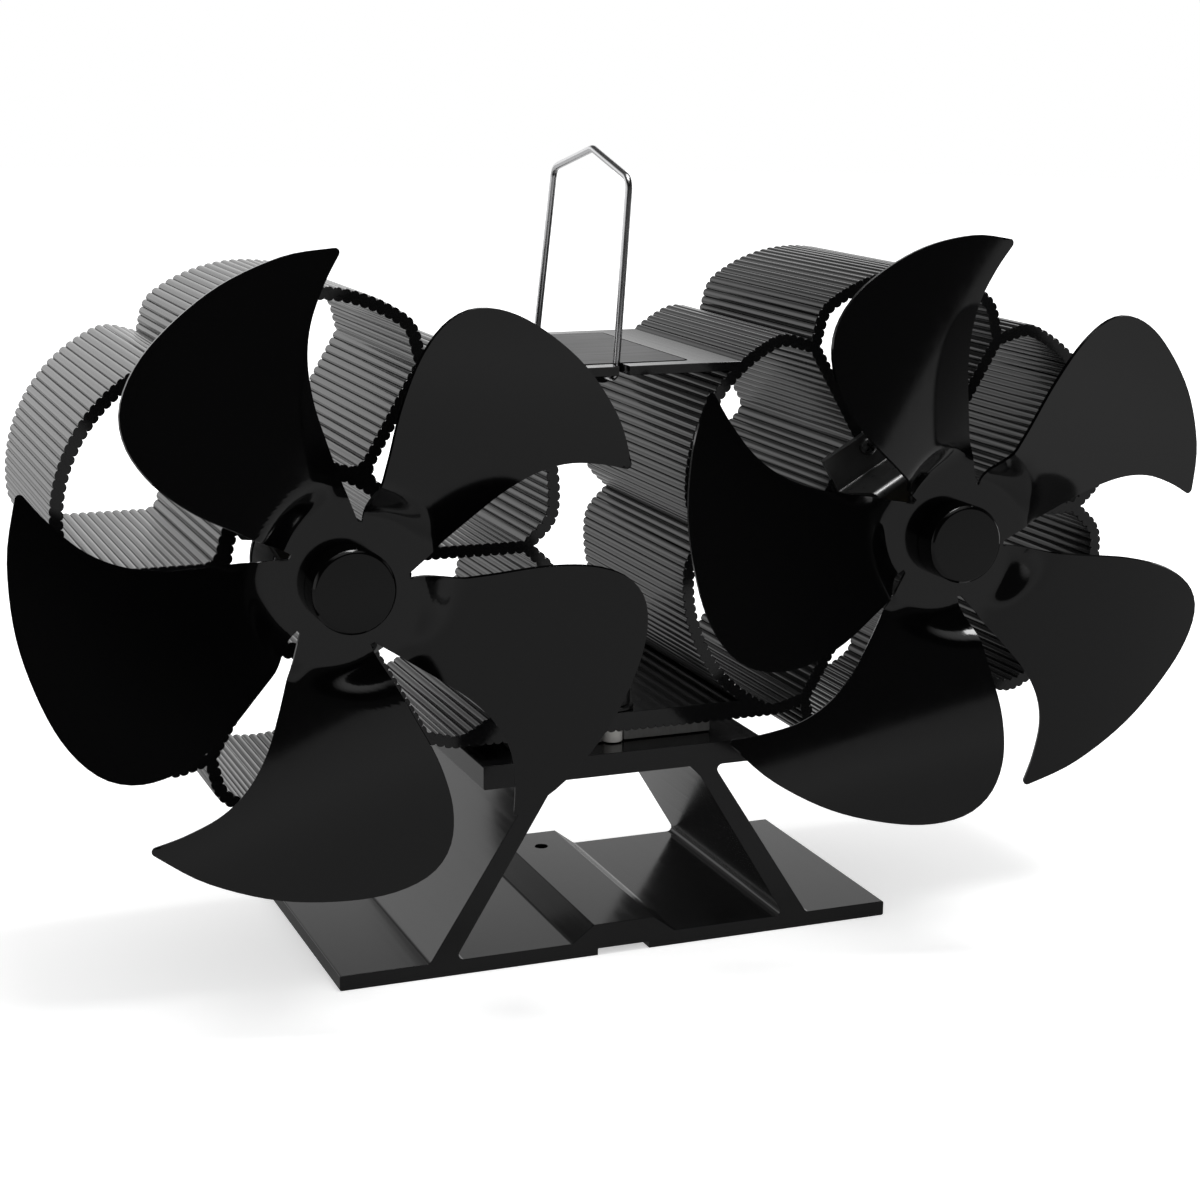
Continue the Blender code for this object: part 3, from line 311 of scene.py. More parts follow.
def even_normals(obj):
    """Large flat faces keep their own direction beside their rounded edges."""
    even = obj.modifiers.new("even", "WEIGHTED_NORMAL")
    even.keep_sharp = True
    apply_modifiers(obj)


def turned(name, profile, centre, look, upright=False):
    """A turned piece about Y, or Z if upright: its profile is (radius, place along the axis)."""
    cells = bmesh.new()
    rings = []
    for radius, along in profile:
        ring = []
        for i in range(ROUND_SEGMENTS if radius else 1):
            angle = math.tau * i / ROUND_SEGMENTS
            a, b = radius * math.cos(angle), radius * math.sin(angle)
            place = (centre.x + a, along, centre.z + b)
            if upright:
                place = (centre.x + a, centre.y + b, along)
            ring.append(cells.verts.new(place))
        rings.append(ring)
    if profile[0][0]:
        rings.append(rings[0])
    for first, second in zip(rings, rings[1:]):
        for i in range(ROUND_SEGMENTS):
            j = (i + 1) % ROUND_SEGMENTS
            corners = [first[i % len(first)], first[j % len(first)]]
            corners += [second[j % len(second)], second[i % len(second)]]
            corners = list(dict.fromkeys(corners))
            if len(corners) > 2:
                cells.faces.new(corners)
    bmesh.ops.recalc_face_normals(cells, faces=cells.faces)
    piece = from_cells(name, cells, look)
    shade(piece)
    return piece


def rounded_profile(corners):
    """A profile through corners (radius, place, rounding).

    It closes on itself unless it starts and ends on the axis.
    """
    points = []
    for i, (x, y, rounding) in enumerate(corners):
        corner = Vector((x, y))
        if rounding == 0:
            points.append((x, y))
            continue
        before = Vector(corners[i - 1][:2])
        after = Vector(corners[(i + 1) % len(corners)][:2])
        start = corner + (before - corner).normalized() * rounding
        end = corner + (after - corner).normalized() * rounding
        for step in range(ROUNDING_STEPS + 1):
            t = step / ROUNDING_STEPS
            points.append(tuple((1 - t) ** 2 * start + 2 * t * (1 - t) * corner + t**2 * end))
    return points


def softened(node, look, slot_name):
    """A piece of the node's own shape with its edges rounded."""
    cells = bmesh.new()
    cells.from_mesh(frame["nodes"][node].data)
    bmesh.ops.remove_doubles(cells, verts=cells.verts, dist=SAME_POINT)
    bmesh.ops.dissolve_limit(
        cells, angle_limit=FLAT_ANGLE, verts=cells.verts, edges=cells.edges
    )
    piece = from_cells(node + "_soft", cells, look)
    bevel(piece, SOFT_EDGE, BEVEL_STEPS, BEVEL_ANGLE)
    apply_modifiers(piece)
    shade(piece)
    even_normals(piece)
    return keep(piece, "stove_body", slot_name, node)


# Materials

def material(name, colour, roughness, metallic=0.0, ior=PLAIN_IOR, specular=PLAIN_SPECULAR):
    made = bpy.data.materials.new(name)
    made.use_nodes = True
    shader = made.node_tree.nodes["Principled BSDF"]
    shader.inputs["Base Color"].default_value = (*colour, 1)
    shader.inputs["Roughness"].default_value = roughness
    shader.inputs["Metallic"].default_value = metallic
    shader.inputs["IOR"].default_value = ior
    shader.inputs["Specular IOR Level"].default_value = specular
    return made


def add_node(made, kind, **values):
    node = made.node_tree.nodes.new(kind)
    for key, value in values.items():
        if key in node.inputs:
            node.inputs[key].default_value = value
        else:
            setattr(node, key, value)
    return node


def connect(made, source, output, target, socket):
    made.node_tree.links.new(source.outputs[output], target.inputs[socket])


def feed(made, term, socket):
    """Links an input to an output, or sets it to a number."""
    if isinstance(term, float):
        socket.default_value = term
    else:
        made.node_tree.links.new(term, socket)


def combine(made, operation, first, second):
    """The output of a maths node that takes two outputs or numbers."""
    node = add_node(made, "ShaderNodeMath", operation=operation)
    feed(made, first, node.inputs[0])
    feed(made, second, node.inputs[1])
    return node.outputs["Value"]


def blend(made, factor, first, second):
    """The first number where the factor is 0 and the second where it is 1."""
    node = add_node(made, "ShaderNodeMix")
    for socket, term in (("Factor", factor), ("A", first), ("B", second)):
        feed(made, term, node.inputs[socket])
    return node.outputs["Result"]


def spread(made, value, limits, levels, kind="LINEAR"):
    """One level where the value is at its first limit and the other where it is at its last."""
    node = add_node(made, "ShaderNodeMapRange", interpolation_type=kind)
    sockets = ("From Min", "From Max", "To Min", "To Max")
    for socket, number in zip(sockets, (*limits, *levels)):
        node.inputs[socket].default_value = number
    made.node_tree.links.new(value, node.inputs["Value"])
    return node.outputs["Result"]


def noise(made, scale, stretch=(1, 1, 1), detail=4.0):
    """Noise in the object's own coordinates, finer along the axes with a larger stretch."""
    place = add_node(made, "ShaderNodeTexCoord")
    mapping = add_node(made, "ShaderNodeMapping", Scale=stretch)
    texture = add_node(made, "ShaderNodeTexNoise", Scale=scale, Detail=detail)
    connect(made, place, "Object", mapping, "Vector")
    connect(made, mapping, "Vector", texture, "Vector")
    return texture


def vary(made, socket, texture, low, high):
    """Drives a socket of the shader between two values by a texture."""
    value = spread(made, texture.outputs["Fac"], (NOISE_LOW, NOISE_HIGH), (low, high))
    made.node_tree.links.new(value, made.node_tree.nodes["Principled BSDF"].inputs[socket])


def vary_colour(made, texture, dark, light):
    """Drives the colour of the shader between two colours by a texture."""
    mix = add_node(made, "ShaderNodeMix", data_type="RGBA")
    mix.inputs["A"].default_value = (*dark, 1)
    mix.inputs["B"].default_value = (*light, 1)
    made.node_tree.links.new(texture.outputs["Fac"], mix.inputs["Factor"])
    shader = made.node_tree.nodes["Principled BSDF"]
    made.node_tree.links.new(mix.outputs[2], shader.inputs["Base Color"])


def roughen(made, texture, distance, strength=1.0):
    bump = add_node(made, "ShaderNodeBump", Strength=strength, Distance=distance)
    connect(made, texture, "Fac", bump, "Height")
    connect(made, bump, "Normal", made.node_tree.nodes["Principled BSDF"], "Normal")


def make_materials():
    looks = {}
    anodised = material("anodised_black", (0.004, 0.004, 0.0042), 0.13)
    die_lines = noise(anodised, 900, (1, 0.015, 1), 3)
    vary(anodised, "Roughness", die_lines, 0.10, 0.17)
    roughen(anodised, die_lines, 0.000006)
    looks["anodised"] = anodised

    base = material("anodised_base", (0.005, 0.005, 0.0052), 0.15, ior=1.45)
    base_lines = noise(base, 700, (1, 0.012, 1), 3)
    vary(base, "Roughness", base_lines, 0.12, 0.18)
    roughen(base, base_lines, 0.000003)
    looks["base"] = base

    blade = material("blade_paint", (0.001, 0.001, 0.0011), 0.09)
    paint = noise(blade, 260, detail=2)
    vary(blade, "Roughness", paint, 0.08, 0.11)
    roughen(blade, paint, 0.000004, 0.5)
    looks["blade"] = blade

    cap = material("cap_plastic", (0.001, 0.001, 0.001), 0.09, specular=0.32)
    moulding = noise(cap, 1500, detail=3)
    vary(cap, "Roughness", moulding, 0.07, 0.11)
    roughen(cap, moulding, 0.000004)
    looks["cap"] = cap

    polished = material("polished_steel", (0.72, 0.72, 0.73), 0.2, 1.0)
    drawn = noise(polished, 1800, (1, 1, 0.02), 2)
    vary(polished, "Roughness", drawn, 0.14, 0.26)
    looks["polished"] = polished

    motor = material("motor_can", (0.08, 0.08, 0.082), 0.3, 1.0)
    rolled = noise(motor, 700, (1, 0.05, 1), 3)
    vary(motor, "Roughness", rolled, 0.25, 0.4)
    vary_colour(motor, rolled, (0.06, 0.06, 0.062), (0.10, 0.10, 0.102))
    looks["motor"] = motor

    plastic = material("black_plastic", (0.02, 0.02, 0.02), 0.5)
    grain = noise(plastic, 1400, detail=4)
    vary(plastic, "Roughness", grain, 0.42, 0.58)
    roughen(plastic, grain, 0.00002)
    looks["plastic"] = plastic

    bracket = material("bracket_paint", (0.004, 0.004, 0.004), 0.3, ior=1.9, specular=0.9)
    coat = noise(bracket, 500, detail=3)
    vary(bracket, "Roughness", coat, 0.27, 0.34)
    roughen(bracket, coat, 0.000006, 0.6)
    looks["bracket"] = bracket

    screw = material("blackened_steel", (0.03, 0.03, 0.03), 0.34, 0.8)
    oxide = noise(screw, 1600, detail=3)
    vary(screw, "Roughness", oxide, 0.25, 0.45)
    vary_colour(screw, oxide, (0.018, 0.018, 0.018), (0.05, 0.05, 0.05))
    looks["screw"] = screw

    brass = material("turned_brass", (0.62, 0.50, 0.26), 0.28, 1.0)
    tool_marks = noise(brass, 2600, (0.05, 1, 0.05), 2)
    vary(brass, "Roughness", tool_marks, 0.2, 0.36)
    looks["brass"] = brass

    steel = material("plain_steel", (0.55, 0.55, 0.56), 0.32, 1.0)
    worn = noise(steel, 900, detail=4)
    vary(steel, "Roughness", worn, 0.25, 0.42)
    looks["steel"] = steel

    bimetal = material("bimetal_strip", (0.50, 0.44, 0.35), 0.34, 1.0)
    milled = noise(bimetal, 900, (1, 0.03, 1), 3)
    vary(bimetal, "Roughness", milled, 0.28, 0.42)
    vary_colour(bimetal, milled, (0.42, 0.37, 0.30), (0.56, 0.50, 0.40))
    looks["bimetal"] = bimetal

    board = material("insulating_board", (0.16, 0.16, 0.155), 0.85)
    fibres = noise(board, 1200, (1, 1, 0.3), 5)
    vary_colour(board, fibres, (0.13, 0.13, 0.125), (0.20, 0.20, 0.195))
    roughen(board, fibres, 0.0001)
    looks["board"] = board

    label = material("label_plate", (0.035, 0.035, 0.036), 0.4)
    brushed = noise(label, 1500, (0.02, 1, 1), 3)
    vary(label, "Roughness", brushed, 0.34, 0.48)
    vary_colour(label, brushed, (0.030, 0.030, 0.031), (0.042, 0.042, 0.043))
    looks["label"] = label

    ink = material("label_ink", (0.004, 0.004, 0.004), 0.7, specular=0.0)
    printed = noise(ink, 2000, detail=3)
    vary_colour(ink, printed, (0.002, 0.002, 0.002), (0.007, 0.007, 0.007))
    looks["ink"] = ink

    ceramic = material("white_ceramic", (0.78, 0.77, 0.73), 0.45)
    fired = noise(ceramic, 900, detail=4)
    vary_colour(ceramic, fired, (0.72, 0.71, 0.67), (0.82, 0.81, 0.78))
    looks["ceramic"] = ceramic

    pad = material("graphite_pad", (0.09, 0.09, 0.09), 0.6)
    flakes = noise(pad, 2200, detail=5)
    vary_colour(pad, flakes, (0.06, 0.06, 0.06), (0.14, 0.14, 0.14))
    looks["pad"] = pad
    return looks


# Cooling extrusion with its ribs

def section_loops(node, y):
    """Closed outlines (x, z) where the plane at y cuts a CAD node, the same ones in each run."""
    cells = bmesh.new()
    cells.from_mesh(frame["nodes"][node].data)
    bmesh.ops.remove_doubles(cells, verts=cells.verts, dist=SAME_POINT)
    geometry = list(cells.verts) + list(cells.edges) + list(cells.faces)
    found = bmesh.ops.bisect_plane(
        cells, geom=geometry, plane_co=(0, y, 0), plane_no=(0, 1, 0)
    )
    edges = [item for item in found["geom_cut"] if isinstance(item, bmesh.types.BMEdge)]
    edges = dict.fromkeys(edges)
    loops = []
    while edges:
        edge = edges.popitem()[0]
        start, here = edge.verts
        points = [start, here]
        while here != start:
            edge = next(other for other in here.link_edges if other in edges)
            edges.pop(edge)
            here = edge.other_vert(here)
            points.append(here)
        loops.append([Vector((vert.co.x, vert.co.z)) for vert in points[:-1]])
    cells.free()
    return loops


def without_straight_points(points):
    """The outline without the points that lie on a straight run."""
    kept = []
    for i, point in enumerate(points):
        before = point - points[i - 1]
        after = points[(i + 1) % len(points)] - point
        if before.length < SAME_POINT:
            continue
        if after.length < SAME_POINT or abs(before.angle_signed(after)) > STRAIGHT_ANGLE:
            kept.append(point)
    return kept


def area(points):
    pairs = zip(points, points[1:] + points[:1])
    return sum(a.x * b.y - b.x * a.y for a, b in pairs) / 2


def as_circle(points):
    """The centre and radius of an outline that is a circle, or None."""
    centre = sum(points, Vector((0, 0))) / len(points)
    distances = [(point - centre).length for point in points]
    if max(distances) - min(distances) > max(distances) * ROUND_TOLERANCE:
        return None
    return centre, max(distances)


def stretches(points):
    """The outline split at its corners, each stretch with both of its ends."""
    count = len(points)
    corners = []
    for i, point in enumerate(points):
        turn = (point - points[i - 1]).angle(points[(i + 1) % count] - point)
        if turn > CORNER_TURN:
            corners.append(i)
    if not corners:
        corners = [0]
    found = []
    for first, last in zip(corners, corners[1:] + [corners[0] + count]):
        found.append([points[i % count] for i in range(first, last + 1)])
    return found


def rib_wave(i):
    """How many ribs along a point of a ribbed line lies, and how far it swells out."""
    rib, step = divmod(i, RIB_STEPS)
    share = (1 - math.cos(math.pi * step / RIB_STEPS)) / 2
    return rib + share, RIB_DEPTH * (math.sin(math.pi * step / RIB_STEPS) - 0.5)


def ribbed(stretch, side):
    """A stretch with ribs that swell out to one side of it, fading out at both ends."""
    along = [0.0]
    for start, end in zip(stretch, stretch[1:]):
        along.append(along[-1] + (end - start).length)
    total = along[-1]
    is_level = len(stretch) == 2 and abs(stretch[0].y - stretch[1].y) < SAME_POINT
    if total < RIB_PITCH or (is_level and total > PLATE_RUN):
        return stretch[:-1]
    count = round(total / RIB_PITCH)
    points = []
    j = 1
    for i in range(count * RIB_STEPS):
        ribs_along, swell = rib_wave(i)
        wanted = total * ribs_along / count
        while along[j] < wanted:
            j += 1
        start, end = stretch[j - 1], stretch[j]
        run = (end - start).normalized()
        place = start.lerp(end, (wanted - along[j - 1]) / (along[j] - along[j - 1]))
        fade = min(1, wanted / RIB_FADE, (total - wanted) / RIB_FADE)
        points.append(place + Vector((run.y, -run.x)) * side * (swell * fade))
    return points


def round_outline(centre, radius):
    """A round bore: ribs swell into the wide one of a motor ring, a screw port is smooth."""
    count = round(math.tau * radius / RIB_PITCH)
    if count > ROUND_SEGMENTS / RIB_STEPS:
        waves = [rib_wave(i) for i in range(count * RIB_STEPS)]
        turns = [(math.tau * ribs_along / count, swell) for ribs_along, swell in waves]
    else:
        turns = [(math.tau * i / PORT_SEGMENTS, 0) for i in range(PORT_SEGMENTS)]
    return [centre + (radius - swell) * Vector(polar(1, angle)) for angle, swell in turns]


def extrusion_outlines():
    """Every outline of the cooling extrusion, its petals and motor rings ribbed."""
    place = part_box("cooling_extrusion")[0].y + SECTION_BEHIND_FRONT
    loops = [without_straight_points(loop) for loop in section_loops("cooling_extrusion", place)]
    largest = max(loops, key=lambda loop: abs(area(loop)))
    outlines = []
    for loop in loops:
        found = as_circle(loop)
        if found:
            outlines.append(round_outline(*found))
            continue
        side = 1 if area(loop) > 0 else -1
        if loop is not largest:
            side = -side
        points = []
        for stretch in stretches(loop):
            points += ribbed(stretch, side)
        outlines.append(points)
    return outlines


def inset(points, distance, is_outer):
    """The outline moved into the material by a distance."""
    turn = 1 if (area(points) > 0) == is_outer else -1
    moved = []
    for i, point in enumerate(points):
        run = (points[(i + 1) % len(points)] - points[i - 1]).normalized()
        moved.append(point + Vector((-run.y, run.x)) * turn * distance)
    return moved


def extrude_outlines(name, outlines, front, back, look):
    """A straight extrusion of ribbed outlines with a small bevel round both of its ends."""
    largest = max(outlines, key=lambda points: abs(area(points)))
    ends = [inset(points, END_BEVEL, points is largest) for points in outlines]
    cells = bmesh.new()
    rows = []
    for y, drawn in (
        (front, ends),
        (front + END_BEVEL, outlines),
        (back - END_BEVEL, outlines),
        (back, ends),
    ):
        rows.append([[cells.verts.new((p.x, y, p.y)) for p in points] for points in drawn])
    for first, second in zip(rows, rows[1:]):
        for ring, next_ring in zip(first, second):
            for i in range(len(ring)):
                cells.faces.new((ring[i - 1], ring[i], next_ring[i], next_ring[i - 1]))
    flat = [[Vector((p.x, p.y, 0)) for p in points] for points in ends]
    triangles = tessellate_polygon(flat)
    for row in (rows[0], rows[-1]):
        verts = [vert for ring in row for vert in ring]
        for a, b, c in triangles:
            cells.faces.new((verts[a], verts[b], verts[c]))
    bmesh.ops.recalc_face_normals(cells, faces=cells.faces)
    return from_cells(name, cells, look)


def cut(obj, cutter, operation="DIFFERENCE"):
    """Adds or takes away a shape and drops the cutter."""
    boolean = obj.modifiers.new(cutter.name, "BOOLEAN")
    boolean.object = cutter
    boolean.operation = operation
    bpy.context.view_layer.update()
    apply_modifiers(obj)
    bpy.data.objects.remove(cutter)


def rod(name, radius, start, end, look, segments=ROUND_SEGMENTS // 2):
    """A plain rod between two points, as a cutter or to be joined."""
    cells = bmesh.new()
    length = (end - start).length
    bmesh.ops.create_cone(
        cells, cap_ends=True, segments=segments, radius1=radius, radius2=radius, depth=length
    )
    turn = (end - start).to_track_quat("Z", "Y").to_matrix().to_4x4()
    cells.transform(Matrix.Translation((start + end) / 2) @ turn)
    return from_cells(name, cells, look)


def block(name, low, high, look):
    cells = bmesh.new()
    bmesh.ops.create_cube(cells, size=1)
    bmesh.ops.scale(cells, vec=Vector(high) - Vector(low), verts=cells.verts)
    bmesh.ops.translate(cells, vec=(Vector(high) + Vector(low)) / 2, verts=cells.verts)
    return from_cells(name, cells, look)


def make_cooling_extrusion(looks):
    look = looks["anodised"]
    low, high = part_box("cooling_extrusion")
    extrusion = extrude_outlines("ribbed_extrusion", extrusion_outlines(), low.y, high.y, look)
    hinge = Vector(frame_joint("handle_rock")["pos_m"])
    plate_top = hinge.z + HINGE_DROP
    plate_bottom = plate_top - LABEL_PLATE_THICKNESS
    start, end = low.y + BOSS_END_MARGIN, high.y - BOSS_END_MARGIN
    ends = [Vector((0, y, plate_bottom)) for y in (start, end)]
    boss = rod("boss", BOSS_RADIUS, *ends, look)
    inside_plate = plate_bottom + LABEL_PLATE_THICKNESS / 2
    cut(boss, block("above", (-1, -1, inside_plate), (1, 1, 1), look))
    cut(extrusion, boss, "UNION")
    ends = [Vector((0, y, hinge.z)) for y in (start - CUT_OVERRUN, end + CUT_OVERRUN)]
    cut(extrusion, rod("bore", WIRE_RADIUS + BORE_GAP, *ends, look))
    half_slot = SLOT_WIDTH / 2
    reach = HANDLE_LEG_REACH - WIRE_RADIUS - SLOT_END_GAP
    slots = (
        (low.y - CUT_OVERRUN, hinge.y - reach),
        (hinge.y + reach, high.y + CUT_OVERRUN),
    )
    for front, back in slots:
        corner = (-half_slot, front, plate_bottom - CUT_OVERRUN)
        cut(extrusion, block("slot", corner, (half_slot, back, plate_top + CUT_OVERRUN), look))
    for name in ("front", "rear"):
        screw = middle(name + "_clamp_screw")
        radius = size(name + "_insulating_bush").x / 2 - BUSH_WALL
        start = Vector((screw.x, screw.y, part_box("cold_side_pad")[0].z))
        end = Vector((screw.x, screw.y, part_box(name + "_clamp_washer")[1].z))
        cut(extrusion, rod("clamp_hole", radius, start, end, look))
    shade(extrusion)
    keep(extrusion, "stove_body", "black_anodised", "cooling_extrusion")


# Fans

def blade_depth(along, across):
    """How far behind the hub's plane the sheet lies: a flat ends in a spiral crease round it."""
    radius = math.hypot(along, across)
    turned_by = (math.atan2(across, along) - ROOT_START_ANGLE) * BLADE_COUNT / math.tau
    turned_by = min(1, max(0, turned_by))
    crease = CREASE_START_RADIUS + (CREASE_END_RADIUS - CREASE_START_RADIUS) * turned_by
    share = min(1, max(0, (radius - crease) / (HUB_BLEND_RADIUS - crease)))
    bend = share * share * (3 - 2 * share)
    along, across = along / FAN_RADIUS, across / FAN_RADIUS
    rise = RISE_SHARE * along + PITCH_SHARE * across
    rise += TWIST_SHARE * along * across + CAMBER_SHARE * across**2
    return FAN_RADIUS * rise * bend


def polar(radius, angle):
    return (radius * math.cos(angle), radius * math.sin(angle))


def smooth(controls, count, crowding=1.0):
    """Points of a Catmull-Rom curve through the control points, which crowding moves to its end."""
    knots = [Vector(point) for point in controls]
    padded = [knots[0]] + knots + [knots[-1]]
    dense = []
    for before, start, end, after in zip(padded, padded[1:], padded[2:], padded[3:]):
        leaving = start + (end - before) / 6
        arriving = end - (after - start) / 6
        dense += interpolate_bezier(start, leaving, arriving, end, count + 1)[:-1]
    dense.append(knots[-1])
    along = [0.0]
    for start, end in zip(dense, dense[1:]):
        along.append(along[-1] + (end - start).length)
    points = []
    for i in range(count + 1):
        wanted = along[-1] * (1 - (1 - i / count) ** crowding)
        j = next(k for k in range(1, len(along)) if along[k] >= wanted or k == len(along) - 1)
        share = (wanted - along[j - 1]) / (along[j] - along[j - 1])
        points.append(tuple(dense[j - 1].lerp(dense[j], share)))
    return points


def blade_tip():
    """The rounded tip of the blade, from its trailing edge to its leading one."""
    trailing, tip, leading = [
        (u * FAN_RADIUS, v * FAN_RADIUS)
        for u, v in (TRAILING_EDGE_SHARES[1], LEADING_EDGE_SHARES[0], LEADING_EDGE_SHARES[1])
    ]
    corners = [(*trailing, 0), (*tip, BLADE_TIP_ROUND), (*leading, 0)]
    return smooth(rounded(corners)[1:-1], BLADE_COLUMNS)


def blade_edge(tip_end, shares, root_angle):
    controls = [tip_end] + [(u * FAN_RADIUS, v * FAN_RADIUS) for u, v in shares[1:]]
    return smooth(controls + [polar(HUB_FLAT_RADIUS, root_angle)], BLADE_ROWS, ROW_CROWDING)


def blade_line(first, last, shares):
    """A row across the blade, straight near the tip and bent round the hub at the root."""
    first, last = Vector(first), Vector(last)
    near, far = first.length, last.length
    start, end = math.atan2(first.y, first.x), math.atan2(last.y, last.x)
    bent = (ROOT_BEND_RADIUS - (near + far) / 2) / (ROOT_BEND_RADIUS - HUB_FLAT_RADIUS)
    bent = min(1, max(0, bent))
    points = []
    for share in shares:
        around = Vector(polar(near + (far - near) * share, start + (end - start) * share))
        points.append(tuple(first.lerp(last, share).lerp(around, bent)))
    return points


def on_sheet(centre, turn, along, across, depth=0.0):
    """A place in a blade turned clockwise from upright, from the middle of the hub's plane."""
    x = along * math.sin(turn) + across * math.cos(turn)
    z = along * math.cos(turn) - across * math.sin(turn)
    return centre + Vector((x, depth, z))


def make_blades(side, looks):
    """The pressed sheet of one fan, finer than the solid and with its cut edges rounded."""
    centre = middle(side + "_motor_can")
    centre.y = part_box(side + "_hub_cap")[1].y + SEAT_GAP + BLADE_THICKNESS / 2
    start = ROOT_START_ANGLE + SLIT_HALF_ANGLE
    end = ROOT_START_ANGLE + math.tau / BLADE_COUNT - SLIT_HALF_ANGLE
    tip = blade_tip()
    leading = blade_edge(tip[-1], LEADING_EDGE_SHARES, end)
    trailing = blade_edge(tip[0], TRAILING_EDGE_SHARES, start)
    columns = [i / BLADE_COLUMNS for i in range(BLADE_COLUMNS + 1)]
    cells = bmesh.new()
    inner, outer = [], []
    for blade in range(BLADE_COUNT):
        turn = math.tau * blade / BLADE_COUNT + FAN_TURNS[side]
        lines = [tip]
        for first, last in list(zip(trailing, leading))[1:-1]:
            lines.append(blade_line(first, last, columns))
        angles = [start + (end - start) * share for share in columns]
        rows = []
        for line in lines:
            places = [on_sheet(centre, turn, *point, blade_depth(*point)) for point in line]
            rows.append([cells.verts.new(place) for place in places])
        for radius in (HUB_FLAT_RADIUS, HUB_HOLE_RADIUS):
            places = [on_sheet(centre, turn, *polar(radius, angle)) for angle in angles]
            rows.append([cells.verts.new(place) for place in places])
        inner += rows.pop()
        outer += rows[-1]
        for upper, lower in zip(rows, rows[1:]):
            for i in range(BLADE_COLUMNS):
                cells.faces.new((upper[i], lower[i], lower[i + 1], upper[i + 1]))
    for i in range(len(outer)):
        j = (i + 1) % len(outer)
        cells.faces.new((outer[i], inner[i], inner[j], outer[j]))
    bmesh.ops.recalc_face_normals(cells, faces=cells.faces)
    blades = from_cells(side + "_blades", cells, looks["blade"])
    sheet = blades.modifiers.new("sheet", "SOLIDIFY")
    sheet.thickness = BLADE_THICKNESS
    sheet.offset = 0
    bevel(blades, BLADE_EDGE_ROUND, BLADE_BEVEL_STEPS, BLADE_BEVEL_ANGLE)
    apply_modifiers(blades)
    shade(blades, BLADE_SHARP_ANGLE)
    even_normals(blades)
    keep(blades, side + "_fan", "blade_black", side + "_fan_blades")


def make_hub_cap(side, looks):
    node = side + "_hub_cap"
    low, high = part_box(node)
    radius = (high.x - low.x) / 2
    corners = [
        (0, low.y, 0),
        (radius * CAP_FACE_SHARE, low.y, CAP_ROUND),
        (radius, low.y + CAP_CHAMFER_DEPTH, CAP_ROUND),
        (radius, high.y, 0),
        (0, high.y, 0),
    ]
    cap = turned(side + "_cap", rounded_profile(corners), middle(node), looks["cap"])
    keep(cap, side + "_fan", "cap_black", node)


# Handle

def make_handle(looks):
    """The wire from the end of its front foot in the bore, over the top and back into the bore."""
    hinge = Vector(frame_joint("handle_rock")["pos_m"])
    foot_end = HANDLE_LEG_REACH - HANDLE_FOOT_LENGTH
    corners = [
        (-foot_end, 0, 0),
        (-HANDLE_LEG_REACH, 0, HANDLE_FOOT_BEND),
        (-HANDLE_SHOULDER_REACH, HANDLE_SHOULDER_RISE, HANDLE_SHOULDER_BEND),
        (0, HANDLE_TOP_RISE, HANDLE_TOP_BEND),
        (HANDLE_SHOULDER_REACH, HANDLE_SHOULDER_RISE, HANDLE_SHOULDER_BEND),
        (HANDLE_LEG_REACH, 0, HANDLE_FOOT_BEND),
        (foot_end, 0, 0),
    ]
    curve = bpy.data.curves.new("handle_wire", "CURVE")
    curve.dimensions = "3D"
    curve.bevel_depth = WIRE_RADIUS
    curve.bevel_resolution = WIRE_BEVEL_STEPS
    curve.use_fill_caps = True
    path = rounded(corners)
    spline = curve.splines.new("POLY")
    spline.points.add(len(path) - 1)
    for point, (y, z) in zip(spline.points, path):
        point.co = (0, y, z, 1)
    guide = new_object("handle_guide", curve, looks["polished"])
    graph = bpy.context.evaluated_depsgraph_get()
    mesh = bpy.data.meshes.new_from_object(guide.evaluated_get(graph))
    bpy.data.objects.remove(guide)
    mesh.transform(Matrix.Translation(hinge) @ Matrix.Rotation(HANDLE_LEAN, 4, "Y"))
    handle = new_object("handle_wire", mesh, looks["polished"])
    shade(handle, WIRE_SHARP_ANGLE)
    keep(handle, "handle", "polished_steel", "carry_handle")


def rounded(corners):
    """An open line through corners (x, y, radius), each inner one rounded by its radius."""
    points = [corners[0][:2]]
    for before, (x, y, radius), after in zip(corners, corners[1:], corners[2:]):
        corner = Vector((x, y))
        back = (Vector(before[:2]) - corner).normalized()
        ahead = (Vector(after[:2]) - corner).normalized()
        half = back.angle(ahead) / 2
        centre = corner + (back + ahead).normalized() * (radius / math.sin(half))
        start = corner + back * (radius / math.tan(half)) - centre
        end = corner + ahead * (radius / math.tan(half)) - centre
        first = math.atan2(start.y, start.x)
        turn = (math.atan2(end.y, end.x) - first + math.pi) % math.tau - math.pi
        for step in range(ARC_STEPS + 1):
            x, y = polar(radius, first + turn * step / ARC_STEPS)
            points.append((centre.x + x, centre.y + y))
    return points + [corners[-1][:2]]


# Small turned and sheet pieces

